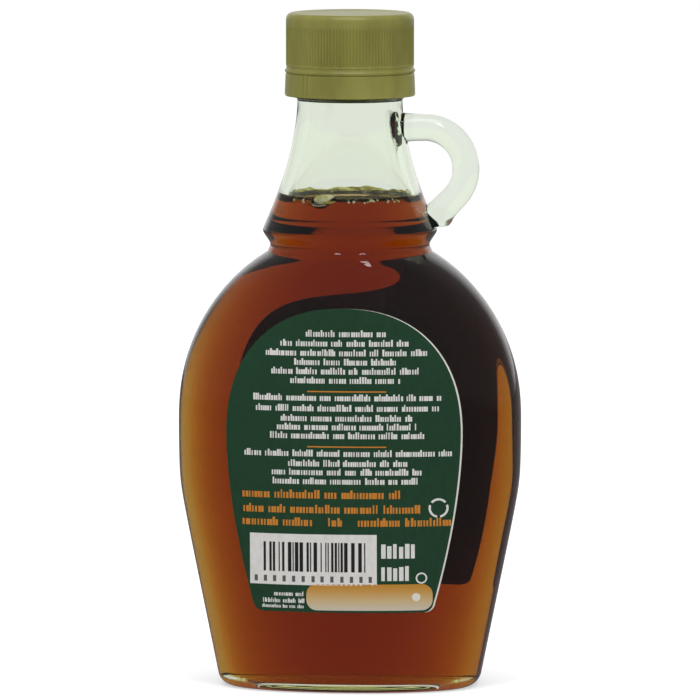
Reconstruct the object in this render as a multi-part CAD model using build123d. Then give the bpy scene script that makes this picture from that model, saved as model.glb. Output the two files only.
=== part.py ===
"""Maple syrup jug: a flat oval glass flask with a small ring handle, its syrup, a screw cap and two labels.

Millimetres. Z is up, the jug stands on z = 0 and its neck axis is the Z axis. X runs along the wide way
of the oval, with the handle on +X. The back label faces -Y and the front label faces +Y.
"""

from build123d import *
from math import cos, pi, radians, sin, sqrt
import os

# Glass body, outside
belly_half_width = 39.6
belly_half_depth = 21.0
belly_z = 63.0  # top of the belly, where the shoulder starts to close in
base_half_width = 29.9  # of the tapered sides, where they meet the base plane
base_half_depth = 18.9
oval_bluntness = 0.8  # 0 makes each level section an ellipse, more makes its two ends blunter
oval_points = 40  # places round a section that its curve runs through
taper_end_z = 47.5  # where the straight taper would reach the belly
taper_softness = 0.3  # rounds the turn from taper to belly
shoulder_rise_wide = 42.6  # half height of the shoulder's curve, seen from the front
shoulder_power_wide = 2.0  # an ellipse
shoulder_rise_deep = 38.5  # the same two, seen from the side
shoulder_power_deep = 9.0  # nearly a corner
shoulder_top_z = 100.3  # where the shoulder runs into the round neck
heel_radius = 2.6

# Recess under the base, so that the jug stands on a ring
recess_inset = 7.0
recess_depth = 0.7
recess_slope = 1.2  # how far the recess narrows on its way up

# Glass body, inside
wall = 2.0  # at the front and back
end_wall = 5.0  # at the two ends of the oval, where the glass gathers
base_thickness = 1.9
inner_heel_radius = 1.6
inner_softness = 0.7  # rounds the turn from shoulder to bore

# Neck, outside
neck_root_z = 92.0  # the round neck starts inside the shoulder
bead_radius = 18.85  # fine bead above the crease
bead_top_z = 101.5
groove_radius = 18.3
groove_z = 102.4
collar_radius = 20.0
collar_z = 105.2
collar_undercut_slope = 0.6  # how far out the collar's underside leans for each unit it climbs
neck_radius = 12.1
flare_z = 104.3  # where the flare's curve starts
flare_height = 30.8
flare_growth = 8.7  # what the flare adds to the neck's radius at its start
flare_power = 1.7
flare_stations = 7

# Neck, inside
bore_radius = 9.2
collar_bore_radius = 16.2
bore_ease_low_z = 103.0
bore_ease_high_z = 133.0
bore_step = 0.02  # the eased bore ends this much outside the straight bore above it
bore_overlap = 0.5  # how far the straight bore's cut reaches down into the eased one

# Finish under the cap
finish_radius = 12.8
finish_shoulder_z = 135.6
retaining_bead_radius = 13.5
retaining_bead_z = 139.6
retaining_bead_height = 2.0
lip_round = 1.0

# Ring handle: a bar that leaves the neck level, bends round and comes down into the collar
handle_z = 129.1
handle_turn_radius = 9.44
handle_turn_x = 17.3
handle_turn_angle = 134.0
handle_bar_width = 6.2
handle_bar_depth = 7.2
handle_root_inset = 1.5  # how far its level end reaches into the neck's glass
handle_foot_inset = 2.2  # how far its low end reaches into the collar's glass

# Syrup
fill_z = 112.0
syrup_clearance = 0.05

# Screw cap with its tamper band, one moulding
cap_top_z = 155.6
cap_skirt_z = 142.2
cap_radius = 14.75  # over the ribs
cap_rib_count = 120
cap_rib_height = 0.28
cap_rib_low_z = 143.1
cap_rib_high_z = 153.3
cap_top_round = 1.7
cap_wall = 1.15
cap_top_thickness = 1.4
cap_seat_clearance = 0.05  # between the cap's ceiling and the glass lip
band_low_z = 136.4
band_slit = 0.4
band_top_radius = 14.8
band_foot_radius = 15.05
band_wall = 0.95
band_hook_height = 0.9
band_hook_clearance = 0.15  # between the hook and the glass finish
bridge_count = 16
bridge_width = 0.7
bridge_depth = 0.5
bridge_overlap = 0.1  # how far each bridge runs into the band and into the skirt

# Labels
label_thickness = 0.12
label_glue_gap = 0.03
label_half_width = 27.1
label_wide_z = 60.0
label_top_z = 89.1
label_foot_z = 19.0
front_label_half_width = 26.1
front_label_foot_z = 23.0
front_label_shift = 1.8  # the front label was stuck on a little towards the handle
label_foot_half_width = 20.3
label_side_bulge = 0.3  # share of the foot's step-in that is reached half-way down
label_arch_power = 2.25
label_arch_steps = 8
label_corner_radius = 2.0

section_step = 2.5  # spacing of the level ovals that each loft runs through
oval_solving_steps = 8  # of Newton's method, which has settled by then
cut_margin = 0.01  # how far a cutting tool runs past the face it opens


def soft_smaller(first, second, softness):
    """The smaller of two lengths, with the corner between them rounded."""
    return (first + second) / 2 - sqrt(((first - second) / 2) ** 2 + softness**2)


def soft_larger(first, second, softness):
    """The larger of two lengths, with the corner between them rounded."""
    return (first + second) / 2 + sqrt(((first - second) / 2) ** 2 + softness**2)


def side_half_size(z, foot, belly):
    """Half of the oval's size up to the belly: a straight taper that runs softly into the belly."""
    tapered = foot + (belly - foot) * min(z, belly_z) / taper_end_z
    return soft_smaller(tapered, belly, taper_softness)


def shoulder_share(z, rise, power):
    """Share of the belly's size left above it: what a power of the climbed share leaves, to one over that power."""
    climbed = min(max((z - belly_z) / rise, 0.0), 1.0)
    return (1 - climbed**power) ** (1 / power)


def outer_size(z):
    """Half width and half depth of the glass body at height z."""
    width = side_half_size(z, base_half_width, belly_half_width)
    depth = side_half_size(z, base_half_depth, belly_half_depth)
    width *= shoulder_share(z, shoulder_rise_wide, shoulder_power_wide)
    depth *= shoulder_share(z, shoulder_rise_deep, shoulder_power_deep)
    return width, depth


def bore_size(z):
    """Radius of the neck's bore: wide at the collar, easing to its narrow top."""
    share = min(max((z - bore_ease_low_z) / (bore_ease_high_z - bore_ease_low_z), 0.0), 1.0)
    narrow = bore_radius + bore_step
    return narrow + (collar_bore_radius - narrow) * (1 + cos(pi * share)) / 2


def inner_size(z):
    """Half width and half depth of the cavity at height z, from its floor to the top of the bore."""
    width = side_half_size(z, base_half_width, belly_half_width) - end_wall
    depth = side_half_size(z, base_half_depth, belly_half_depth) - wall
    if z <= belly_z:
        return width, depth
    bore = bore_size(z)
    softness = inner_softness * min((z - belly_z) / (shoulder_top_z - belly_z), 1.0)
    width *= shoulder_share(z, shoulder_rise_wide - wall, shoulder_power_wide)
    depth *= shoulder_share(z, shoulder_rise_deep - wall, shoulder_power_deep)
    width = soft_larger(width, bore, softness)
    depth = soft_larger(depth, bore, softness)
    if z >= bore_ease_low_z:
        return bore, bore
    return width, min(depth, width)


def oval_reach(turn, power):
    """How far a ray reaches in a blunt oval of half sizes one, worked out by Newton's method.

    On the outline, the square of the share across and a higher power of the share deep add up to one.
    """
    across, deep = abs(cos(turn)), abs(sin(turn))
    reach = 1.1
    for _ in range(oval_solving_steps):
        excess = (reach * across) ** 2 + (reach * deep) ** power - 1
        slope = 2 * reach * across**2 + power * reach ** (power - 1) * deep**power
        reach -= excess / slope
    return reach


def oval(width, depth, z):
    """The level section at height z: blunt up to the belly, rounder as it closes in to the neck."""
    climbed = min(max((z - belly_z) / (shoulder_top_z - belly_z), 0.0), 1.0)
    power = 2 + oval_bluntness * (1 + cos(pi * climbed)) / 2
    points = []
    for place in range(oval_points):
        turn = 2 * pi * place / oval_points
        reach = oval_reach(turn, power)
        points.append((width * reach * cos(turn), depth * reach * sin(turn)))
    marks = [place / oval_points for place in range(oval_points + 1)]
    return Face(Wire([Edge.make_spline(points, periodic=True, parameters=marks)]))


def oval_loft(low_z, high_z, size_at, grow=0.0):
    """A smooth solid through evenly spaced level ovals."""
    steps = max(2, round((high_z - low_z) / section_step))
    sections = []
    for step in range(steps + 1):
        z = low_z + (high_z - low_z) * step / steps
        width, depth = size_at(z)
        sections.append(Pos(0, 0, z) * oval(width + grow, depth + grow, z))
    return loft(sections)


def body_solid(grow=0.0):
    """The outside of the oval body, filled, or the same grown outward on every side."""
    return oval_loft(0.0, shoulder_top_z, outer_size, grow)


def cavity_solid(inset=0.0):
    """The inside of the body and neck, filled, or the same shrunk by an inset."""
    lofted = oval_loft(base_thickness + inset, bore_ease_high_z, inner_size, -inset)
    floor_edges = lofted.edges().group_by(Axis.Z)[0]
    return fillet(floor_edges, inner_heel_radius - inset)


def flare_radius(z):
    """Outer radius of the neck above the collar."""
    share = (z - flare_z) / flare_height
    return neck_radius + flare_growth * (1 - share) ** flare_power


def finish_top_z():
    """Height of the glass lip, just under the cap's ceiling."""
    return cap_top_z - cap_top_thickness - cap_seat_clearance


def neck_solid():
    """The round neck, filled: bead, groove, collar, flare and the plain finish under the cap."""
    lip_z = finish_top_z()
    flare_top_z = flare_z + flare_height
    first_z = collar_z + (collar_z - groove_z)
    step = (flare_top_z - first_z) / flare_stations
    flare = [(flare_radius(first_z + step * n), first_z + step * n) for n in range(flare_stations + 1)]
    bead_low = retaining_bead_z - retaining_bead_height / 2
    bead_high = retaining_bead_z + retaining_bead_height / 2
    underside = (collar_undercut_slope, 1)
    with BuildPart() as neck:
        with BuildSketch(Plane.XZ):
            with BuildLine():
                Polyline((0, neck_root_z), (bead_radius, neck_root_z), (bead_radius, bead_top_z))
                Line((bead_radius, bead_top_z), (groove_radius, groove_z))
                collar = [(groove_radius, groove_z), (collar_radius, collar_z)]
                Spline(*collar, *flare, tangents=(underside, (0, 1)))
                Line(flare[-1], (flare[-1][0], finish_shoulder_z))
                Polyline(
                    (flare[-1][0], finish_shoulder_z),
                    (finish_radius, finish_shoulder_z),
                    (finish_radius, bead_low),
                )
                ThreePointArc(
                    (finish_radius, bead_low),
                    (retaining_bead_radius, retaining_bead_z),
                    (finish_radius, bead_high),
                )
                Line((finish_radius, bead_high), (finish_radius, lip_z - lip_round))
                lip_edge = (finish_radius - lip_round, lip_z)
                RadiusArc((finish_radius, lip_z - lip_round), lip_edge, -lip_round)
                Polyline(lip_edge, (0, lip_z), (0, neck_root_z))
            make_face()
        revolve(axis=Axis.Z)
    return neck.part


def handle_solid():
    """The ring handle's bar, swept from inside the neck's glass to inside the collar's glass."""
    turn_centre = (handle_turn_x, handle_z - handle_turn_radius)
    angle = radians(handle_turn_angle)
    turn_end = (
        turn_centre[0] + handle_turn_radius * sin(angle),
        turn_centre[1] + handle_turn_radius * cos(angle),
    )
    heading = (cos(angle), -sin(angle))
    foot_x = collar_radius - handle_foot_inset
    foot_run = (foot_x - turn_end[0]) / heading[0]
    foot = (foot_x, turn_end[1] + heading[1] * foot_run)
    root = (flare_radius(handle_z) - handle_root_inset, handle_z)
    with BuildPart() as handle:
        with BuildLine(Plane.XZ) as path:
            Line(root, (handle_turn_x, handle_z))
            TangentArc((handle_turn_x, handle_z), turn_end, tangent=(1, 0))
            Line(turn_end, foot)
        with BuildSketch(Plane(origin=path.line @ 0, z_dir=path.line % 0, x_dir=(0, 1, 0))):
            Ellipse(handle_bar_depth / 2, handle_bar_width / 2)
        sweep()
    return handle.part


def recess_solid():
    """The shallow oval recess under the base."""
    width, depth = outer_size(0.0)
    inset = recess_inset + recess_slope
    low = oval(width - recess_inset, depth - recess_inset, 0)
    high = Pos(0, 0, recess_depth) * oval(width - inset, depth - inset, 0)
    return loft([low, high])


def glass_jug():
    """The glass flask with its neck and handle: one solid, hollow and open at the lip."""
    body = body_solid()
    body = fillet(body.edges().group_by(Axis.Z)[0], heel_radius)
    filled = body + neck_solid() + handle_solid() - recess_solid()
    bore_low_z = bore_ease_high_z - bore_overlap
    bore_high_z = finish_top_z() + cut_margin
    top_bore = Cylinder(bore_radius, bore_high_z - bore_low_z)
    top_bore = Pos(0, 0, (bore_low_z + bore_high_z) / 2) * top_bore
    return filled - cavity_solid() - top_bore


def maple_syrup():
    """The syrup, as a solid up to its level."""
    below_level = Pos(0, 0, fill_z / 2) * Box(4 * belly_half_width, 4 * belly_half_depth, fill_z)
    return cavity_solid(syrup_clearance) & below_level


def rib_ring():
    """The ring of fine grip ribs round the cap, as a filled star-shaped prism."""
    valley = cap_radius - cap_rib_height
    outline = []
    for step in range(2 * cap_rib_count):
        radius = cap_radius if step % 2 else valley
        angle = pi * step / cap_rib_count
        outline.append((radius * cos(angle), radius * sin(angle)))
    star = make_face(Polyline(*outline, close=True))
    return extrude(Plane.XY.offset(cap_rib_low_z) * star, cap_rib_high_z - cap_rib_low_z)


def cap_shell_radius():
    """Radius of the cap's smooth shell, half-way up the ribs."""
    return cap_radius - cap_rib_height / 2


def cap_shell():
    """The ribbed shell of the cap: skirt and top with a rounded rim, hollow from below."""
    radius = cap_shell_radius()
    inside = cap_radius - cap_rib_height - cap_wall
    shell = Pos(0, 0, (cap_top_z + cap_skirt_z) / 2) * Cylinder(radius, cap_top_z - cap_skirt_z)
    shell = fillet(shell.edges().group_by(Axis.Z)[-1], cap_top_round)
    room_height = cap_top_z - cap_top_thickness - cap_skirt_z
    room = Pos(0, 0, cap_skirt_z + room_height / 2) * Cylinder(inside, room_height)
    return shell + rib_ring() - room


def tamper_band():
    """The tamper band below the skirt, with the hook that holds it under the glass bead."""
    top_z = cap_skirt_z - band_slit
    hook_radius = finish_radius + band_hook_clearance
    profile = Plane.XZ * make_face(
        Polyline(
            (band_foot_radius, band_low_z),
            (band_top_radius, top_z),
            (band_top_radius - band_wall, top_z),
            (band_foot_radius - band_wall, band_low_z + band_hook_height),
            (hook_radius, band_low_z + band_hook_height),
            (hook_radius, band_low_z),
            close=True,
        )
    )
    return revolve(profile, Axis.Z)


def bridges():
    """The small bridges that tie the band to the skirt until the cap is first opened."""
    radius = (cap_shell_radius() + band_top_radius - band_wall) / 2
    bridge = Box(bridge_depth, bridge_width, band_slit + 2 * bridge_overlap)
    bridge = Pos(radius, 0, cap_skirt_z - band_slit / 2) * bridge
    return [Rot(0, 0, 360 * step / bridge_count) * bridge for step in range(bridge_count)]


def screw_cap():
    """The cap, its tamper band and the bridges between them: one solid."""
    return cap_shell() + tamper_band() + bridges()


def label_outline(half_width, foot_z):
    """A label laid flat: an arched top, gently bowed sides and a straight foot with round corners."""
    arch = []
    for step in range(label_arch_steps + 1):
        angle = pi / 2 * step / label_arch_steps
        across = half_width * cos(angle) ** (2 / label_arch_power)
        up = (label_top_z - label_wide_z) * sin(angle) ** (2 / label_arch_power)
        arch.append((across, label_wide_z + up))
    mirrored = [(-x, z) for x, z in reversed(arch[:-1])]
    step_in = half_width - label_foot_half_width
    side_x = half_width - label_side_bulge * step_in
    side_z = (label_wide_z + foot_z) / 2
    foot = (label_foot_half_width, foot_z)
    with BuildSketch() as sheet:
        with BuildLine():
            Spline(*arch, *mirrored, tangents=((0, 1), (0, -1)))
            ThreePointArc(mirrored[-1], (-side_x, side_z), (-foot[0], foot[1]))
            Line((-foot[0], foot[1]), foot)
            ThreePointArc(foot, (side_x, side_z), arch[0])
        make_face()
        fillet(sheet.vertices().group_by(Axis.Y)[0], label_corner_radius)
    return sheet.sketch


def label(facing, outline, shift):
    """A paper label on the face of the body that a plane faces, moved along X by a shift."""
    column = Pos(shift, 0, 0) * extrude(facing * outline, 2 * belly_half_depth)
    return column & (body_solid(label_glue_gap + label_thickness) - body_solid(label_glue_gap))


def back_label():
    """The larger label, in the middle of the face at -Y."""
    return label(Plane.XZ, label_outline(label_half_width, label_foot_z), 0)


def front_label():
    """The smaller label, a little off the middle of the face at +Y."""
    outline = label_outline(front_label_half_width, front_label_foot_z)
    return label(Plane.XZ.rotated((0, 0, 180)), outline, front_label_shift)


os.makedirs("parts", exist_ok=True)
export_step(glass_jug(), "parts/glass_jug.step")
export_step(maple_syrup(), "parts/maple_syrup.step")
export_step(screw_cap(), "parts/screw_cap.step")
export_step(back_label(), "parts/back_label.step")
export_step(front_label(), "parts/front_label.step")
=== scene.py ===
"""Looks of a small glass jug of maple syrup: glass, syrup, screw cap, two paper labels and a pale studio.

Shape sizes are in millimetres and are written into the meshes in metres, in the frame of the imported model:
Z is up, the jug stands on z = 0, the handle is on +X, the back label faces -Y and the front label +Y.
"""

import logging
import math
from dataclasses import dataclass, field
from enum import Enum

import bmesh
import bpy
import numpy as np
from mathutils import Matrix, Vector


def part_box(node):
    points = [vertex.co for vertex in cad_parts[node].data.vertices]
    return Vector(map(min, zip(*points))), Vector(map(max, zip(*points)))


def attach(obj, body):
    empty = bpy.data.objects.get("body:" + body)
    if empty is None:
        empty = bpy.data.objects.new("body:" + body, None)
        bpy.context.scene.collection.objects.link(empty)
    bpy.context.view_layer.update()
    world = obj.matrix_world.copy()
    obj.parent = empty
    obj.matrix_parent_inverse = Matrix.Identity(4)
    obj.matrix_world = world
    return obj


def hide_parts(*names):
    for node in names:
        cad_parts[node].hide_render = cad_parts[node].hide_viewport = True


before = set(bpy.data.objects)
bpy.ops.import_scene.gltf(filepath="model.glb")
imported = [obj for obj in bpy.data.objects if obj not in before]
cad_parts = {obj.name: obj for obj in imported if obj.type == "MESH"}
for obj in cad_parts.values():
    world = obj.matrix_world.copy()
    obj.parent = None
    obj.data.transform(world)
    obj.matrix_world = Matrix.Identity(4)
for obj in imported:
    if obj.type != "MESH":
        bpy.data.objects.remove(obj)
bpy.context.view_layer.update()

log = logging.getLogger("jug")

MM = 0.001
WELD_GAP = 2e-6
NEWTON_STEPS = 8
FIRST_REACH = 1.1
Rows = np.ndarray
Colour = tuple[float, float, float]
Layer = tuple[float, float]
Place = tuple[float, float]


def linear(red: int, green: int, blue: int) -> Colour:
    """Turns a display colour of 0 to 255 a channel into the linear one that shaders use.

    Args:
        red: red channel.
        green: green channel.
        blue: blue channel.

    Returns:
        The linear colour, each channel from 0 to 1.
    """
    shown = np.array((red, green, blue)) / 255
    values = np.where(shown <= 0.04045, shown / 12.92, ((shown + 0.055) / 1.055) ** 2.4)
    return tuple(float(value) for value in values)


def soft_smaller(first: Rows, second: Rows, softness: Rows | float) -> Rows:
    """The smaller of two lengths, softly: the mean less the root of half the gap and softness squared."""
    return (first + second) / 2 - np.sqrt(((first - second) / 2) ** 2 + softness**2)


def soft_larger(first: Rows, second: Rows, softness: Rows | float) -> Rows:
    """The larger of two lengths, softly: the mean plus the root of half the gap and softness squared."""
    return (first + second) / 2 + np.sqrt(((first - second) / 2) ** 2 + softness**2)


def runs(*stretches: tuple[float, float, float]) -> Rows:
    """Stations along a line, each stretch evenly divided at about its own step.

    Args:
        stretches: (start, end, step) of each stretch, in order, each starting where the last one ended.

    Returns:
        All the stations, with the shared ends given once.
    """
    parts = []
    for start, end, step in stretches:
        count = max(1, round(abs(end - start) / step))
        parts.append(np.linspace(start, end, count, endpoint=False))
    return np.append(np.concatenate(parts), stretches[-1][1])


# --------------------------------------------------------------------------------------------------
# Meshes from grids
# --------------------------------------------------------------------------------------------------


@dataclass
class MeshParts:
    """Vertices in millimetres, quads and triangles with a material number each."""

    points: Rows
    faces: list[Rows]
    slots: list[Rows]

    @staticmethod
    def joined(parts: list["MeshParts"]) -> "MeshParts":
        """Puts several meshes into one, with their vertex numbers moved on.

        Args:
            parts: the meshes to join.

        Returns:
            One mesh that holds them all.
        """
        points, faces, slots, start = [], [], [], 0
        for part in parts:
            points.append(part.points)
            faces += [block + start for block in part.faces]
            slots += part.slots
            start += len(part.points)
        return MeshParts(np.concatenate(points), faces, slots)


def ring_surface(
    rings: Rows, start_pole: Rows | None, end_pole: Rows | None, slots: Rows | None = None
) -> MeshParts:
    """A closed skin over rings of points: quads between neighbouring rings, and a fan at each pole.

    Args:
        rings: points as (ring, place round the ring, xyz). Each ring closes on itself.
        start_pole: the point that closes the first ring, or None where it is left open.
        end_pole: the point that closes the last ring, or None.
        slots: the material number of each band between two rings.

    Returns:
        The mesh. Its faces point outwards where the rings run anticlockwise seen from the end pole's side.
    """
    count, around = rings.shape[:2]
    points = rings.reshape(-1, 3)
    ring, place = np.meshgrid(np.arange(count - 1), np.arange(around), indexing="ij")
    beyond = (place + 1) % around
    low, high = ring * around, (ring + 1) * around
    quads = np.stack([low + place, low + beyond, high + beyond, high + place], axis=-1).reshape(-1, 4)
    bands = np.zeros(count - 1, dtype=int) if slots is None else slots
    faces, numbers = [quads], [np.repeat(bands, around)]
    here, there = np.arange(around), (np.arange(around) + 1) % around
    if start_pole is not None:
        points = np.vstack([points, start_pole])
        faces.append(np.stack([np.full(around, len(points) - 1), there, here], axis=-1))
        numbers.append(np.full(around, bands[0]))
    if end_pole is not None:
        points = np.vstack([points, end_pole])
        last = (count - 1) * around
        faces.append(np.stack([last + here, last + there, np.full(around, len(points) - 1)], axis=-1))
        numbers.append(np.full(around, bands[-1]))
    return MeshParts(points, faces, numbers)


def slab_surface(low: Rows, high: Rows) -> MeshParts:
    """A thin closed slab between two matching sheets of points, with a rim of quads round its border.

    Args:
        low: points of the under sheet as (row, column, xyz).
        high: points of the upper sheet, which faces outwards where rows cross columns turns anticlockwise.

    Returns:
        The closed slab.
    """
    rows, columns = low.shape[:2]
    size = rows * columns
    points = np.concatenate([high.reshape(-1, 3), low.reshape(-1, 3)])
    number = np.arange(size).reshape(rows, columns)
    near, right = number[:-1, :-1], number[:-1, 1:]
    far, corner = number[1:, :-1], number[1:, 1:]
    top = np.stack([near, right, corner, far], axis=-1).reshape(-1, 4)
    border = np.concatenate([number[0, :], number[1:, -1], number[-1, -2::-1], number[-2:0:-1, 0]])
    after = np.roll(border, -1)
    rim = np.stack([border, border + size, after + size, after], axis=-1)
    faces = np.concatenate([top, top[:, ::-1] + size, rim])
    return MeshParts(points, [faces], [np.zeros(len(faces), dtype=int)])


def put_mesh(name: str, parts: MeshParts, smooth: bool = True) -> bpy.types.Object:
    """Makes a mesh object at the origin from points in millimetres.

    Args:
        name: the piece's name.
        parts: its points, faces and material numbers.
        smooth: whether its faces are smooth-shaded.

    Returns:
        The new object, linked to the scene.
    """
    mesh = bpy.data.meshes.new(name)
    mesh.vertices.add(len(parts.points))
    mesh.vertices.foreach_set("co", (parts.points * MM).astype(np.float32).ravel())
    sizes = np.concatenate([np.full(len(block), block.shape[1]) for block in parts.faces])
    corners = np.concatenate([block.ravel() for block in parts.faces])
    mesh.loops.add(len(corners))
    mesh.loops.foreach_set("vertex_index", corners.astype(np.int32))
    mesh.polygons.add(len(sizes))
    starts = np.concatenate([[0], np.cumsum(sizes)[:-1]])
    mesh.polygons.foreach_set("loop_start", starts.astype(np.int32))
    mesh.polygons.foreach_set("material_index", np.concatenate(parts.slots).astype(np.int32))
    mesh.polygons.foreach_set("use_smooth", np.full(len(sizes), smooth))
    mesh.update(calc_edges=True)
    mesh.validate()
    made = bpy.data.objects.new(name, mesh)
    bpy.context.scene.collection.objects.link(made)
    return made


def mark_touching(piece: bpy.types.Object) -> None:
    """Turns a clear piece's face numbers into the attribute "touching": 1 against the other clear body.

    Args:
        piece: a clear piece whose faces are numbered 0 or 1.
    """
    mesh = piece.data
    numbers = np.zeros(len(mesh.polygons), dtype=np.int32)
    mesh.polygons.foreach_get("material_index", numbers)
    mark = mesh.attributes.new("touching", "FLOAT", "FACE")
    mark.data.foreach_set("value", numbers.astype(np.float32))
    mesh.polygons.foreach_set("material_index", numbers * 0)


def keep_edges_crisp(piece: bpy.types.Object, degrees: float) -> None:
    """Marks each edge sharper than an angle, so that smooth shading stops there.

    Args:
        piece: a mesh object.
        degrees: the least angle between two faces that counts as an edge.
    """
    piece.data.set_sharp_from_angle(angle=math.radians(degrees))


def merge_close(piece: bpy.types.Object) -> None:
    """Welds a piece's doubled points, so that its seams are closed.

    Args:
        piece: a mesh object.
    """
    work = bmesh.new()
    work.from_mesh(piece.data)
    bmesh.ops.remove_doubles(work, verts=work.verts, dist=WELD_GAP)
    work.to_mesh(piece.data)
    work.free()


def report(piece: bpy.types.Object) -> None:
    """Logs a piece's name and its number of faces."""
    log.info("%s: %d faces", piece.name, len(piece.data.polygons))


def turned_rings(radius: Rows, level: Rows, turn: Rows) -> Rows:
    """Level rings round the Z axis: each point is its radius times the cosine and the sine of its angle.

    Args:
        radius: each ring's radius, or each point's, as a column or as (ring, place).
        level: each ring's height.
        turn: the angles round a ring.

    Returns:
        The rings' points as (ring, place, axis).
    """
    x, y = radius * np.cos(turn), radius * np.sin(turn)
    return np.stack([x, y, np.broadcast_to(level[:, None], x.shape)], axis=-1)


# --------------------------------------------------------------------------------------------------
# Finishes
# --------------------------------------------------------------------------------------------------


class Tree:
    """A short way to build one material's nodes."""

    def __init__(self, name: str) -> None:
        """Starts an empty node tree with an output.

        Args:
            name: the material's name.
        """
        self.material = bpy.data.materials.new(name)
        self.material.use_nodes = True
        self.nodes = self.material.node_tree.nodes
        self.links = self.material.node_tree.links
        self.nodes.clear()
        self.output = self.nodes.new("ShaderNodeOutputMaterial")

    @classmethod
    def of(cls, node_tree: bpy.types.NodeTree) -> "Tree":
        """Wraps a node tree that already exists, emptied.

        Args:
            node_tree: the tree to empty and wrap.

        Returns:
            The wrapped tree.
        """
        tree = cls.__new__(cls)
        tree.nodes, tree.links = node_tree.nodes, node_tree.links
        tree.nodes.clear()
        return tree

    def add(self, kind: str, **settings: object) -> bpy.types.Node:
        """Adds a node and sets its properties and unlinked inputs.

        Args:
            kind: the node's type name.
            settings: a property of the node, or an input's name with spaces written as underscores.

        Returns:
            The new node.
        """
        node = self.nodes.new(kind)
        for key, value in settings.items():
            if hasattr(node, key):
                setattr(node, key, value)
            else:
                node.inputs[key.replace("_", " ")].default_value = value
        return node

    def join(self, start: bpy.types.NodeSocket, end: bpy.types.NodeSocket) -> None:
        """Links an output socket to an input socket."""
        self.links.new(start, end)

    def place(self, scale: Colour = (1.0, 1.0, 1.0)) -> bpy.types.NodeSocket:
        """Object coordinates, each axis multiplied by a scale.

        Args:
            scale: factor for each axis.

        Returns:
            The coordinates' socket.
        """
        coordinates = self.add("ShaderNodeTexCoord")
        mapping = self.add("ShaderNodeMapping")
        mapping.inputs["Scale"].default_value = scale
        self.join(coordinates.outputs["Object"], mapping.inputs["Vector"])
        return mapping.outputs["Vector"]

    def noise(self, scale: float, detail: float, stretch: Colour = (1.0, 1.0, 1.0)) -> bpy.types.NodeSocket:
        """A noise pattern's value over Object coordinates.

        Args:
            scale: cells for each metre.
            detail: how many finer octaves are added.
            stretch: factor for each axis.

        Returns:
            The pattern's socket.
        """
        noise = self.add("ShaderNodeTexNoise", Scale=scale, Detail=detail)
        self.join(self.place(stretch), noise.inputs["Vector"])
        return noise.outputs["Fac"]

    def ramp(self, value: bpy.types.NodeSocket, stops: list[tuple[float, Colour]]) -> bpy.types.NodeSocket:
        """A colour ramp over a value, with the given (place, colour) stops.

        Args:
            value: the value that picks the colour.
            stops: (place, colour) pairs in order.

        Returns:
            The colour's socket.
        """
        ramp = self.add("ShaderNodeValToRGB")
        elements = ramp.color_ramp.elements
        while len(elements) < len(stops):
            elements.new(0.5)
        for element, (place, colour) in zip(elements, stops, strict=True):
            element.position = place
            element.color = (*colour, 1.0)
        self.join(value, ramp.inputs["Fac"])
        return ramp.outputs["Color"]

    def bump(self, height: bpy.types.NodeSocket, strength: float, distance: float) -> bpy.types.NodeSocket:
        """A bumped normal from a height pattern.

        Args:
            height: the pattern that is read as height.
            strength: share of the full bump.
            distance: height of the full bump, in metres.

        Returns:
            The normal's socket.
        """
        bump = self.add("ShaderNodeBump", Strength=strength, Distance=distance)
        self.join(height, bump.inputs["Height"])
        return bump.outputs["Normal"]

    def surface(self, shader: bpy.types.Node) -> None:
        """Sends a shader to the material's surface."""
        self.join(shader.outputs[0], self.output.inputs["Surface"])

    def inside(self, colour: Colour, density: float) -> None:
        """Fills the material's inside with a clear absorbing volume.

        Args:
            colour: what the volume lets through.
            density: how fast it absorbs, for each metre.
        """
        volume = self.add("ShaderNodeVolumeAbsorption", Density=density)
        volume.inputs["Color"].default_value = (*colour, 1.0)
        self.join(volume.outputs[0], self.output.inputs["Volume"])


@dataclass(frozen=True)
class ClearBody:
    """A see-through finish: glass or a clear liquid, with its colour held in its depth.

    One material covers the whole skin, so that a ray leaves the volume by the material that it came in by.
    The stretch of skin that touches the other clear body has its own index, picked by a mesh attribute.

    Attributes:
        name: the material's name.
        index: index of refraction where the skin meets air.
        touching_index: index against the other clear body, where the attribute "touching" is 1.
        absorbed: share of each colour that the volume keeps for each unit of density.
        density: how fast the volume absorbs, for each metre.
        tint: colour of the skin itself.
    """

    name: str
    index: float
    touching_index: float
    absorbed: Colour
    density: float
    tint: Colour = (1.0, 1.0, 1.0)

    def material(self) -> bpy.types.Material:
        """Builds the material: a smooth refracting surface round an absorbing volume.

        Returns:
            The material.
        """
        tree = Tree(self.name)
        shader = tree.add("ShaderNodeBsdfPrincipled", Roughness=0.0, IOR=self.index)
        shader.inputs["Base Color"].default_value = (*self.tint, 1.0)
        shader.inputs["Transmission Weight"].default_value = 1.0
        touching = tree.add("ShaderNodeAttribute", attribute_name="touching")
        pick = tree.add("ShaderNodeMapRange")
        pick.inputs["To Min"].default_value = self.index
        pick.inputs["To Max"].default_value = self.touching_index
        tree.join(touching.outputs["Fac"], pick.inputs["Value"])
        tree.join(pick.outputs["Result"], shader.inputs["IOR"])
        tree.surface(shader)
        passed = tuple(1.0 - share for share in self.absorbed)
        tree.inside(passed, self.density)
        return tree.material


SYRUP_LEVEL = 112.0
CONTACT_Z = 113.4
GLASS_ABSORBED = (0.62, 0.26, 0.95)
GLASS_DENSITY = 17.0
SYRUP_ABSORBED = (0.165, 0.41, 1.0)
SYRUP_DENSITY = 300.0
GLASS_INDEX = 1.5
SYRUP_INDEX = 1.42

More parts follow.
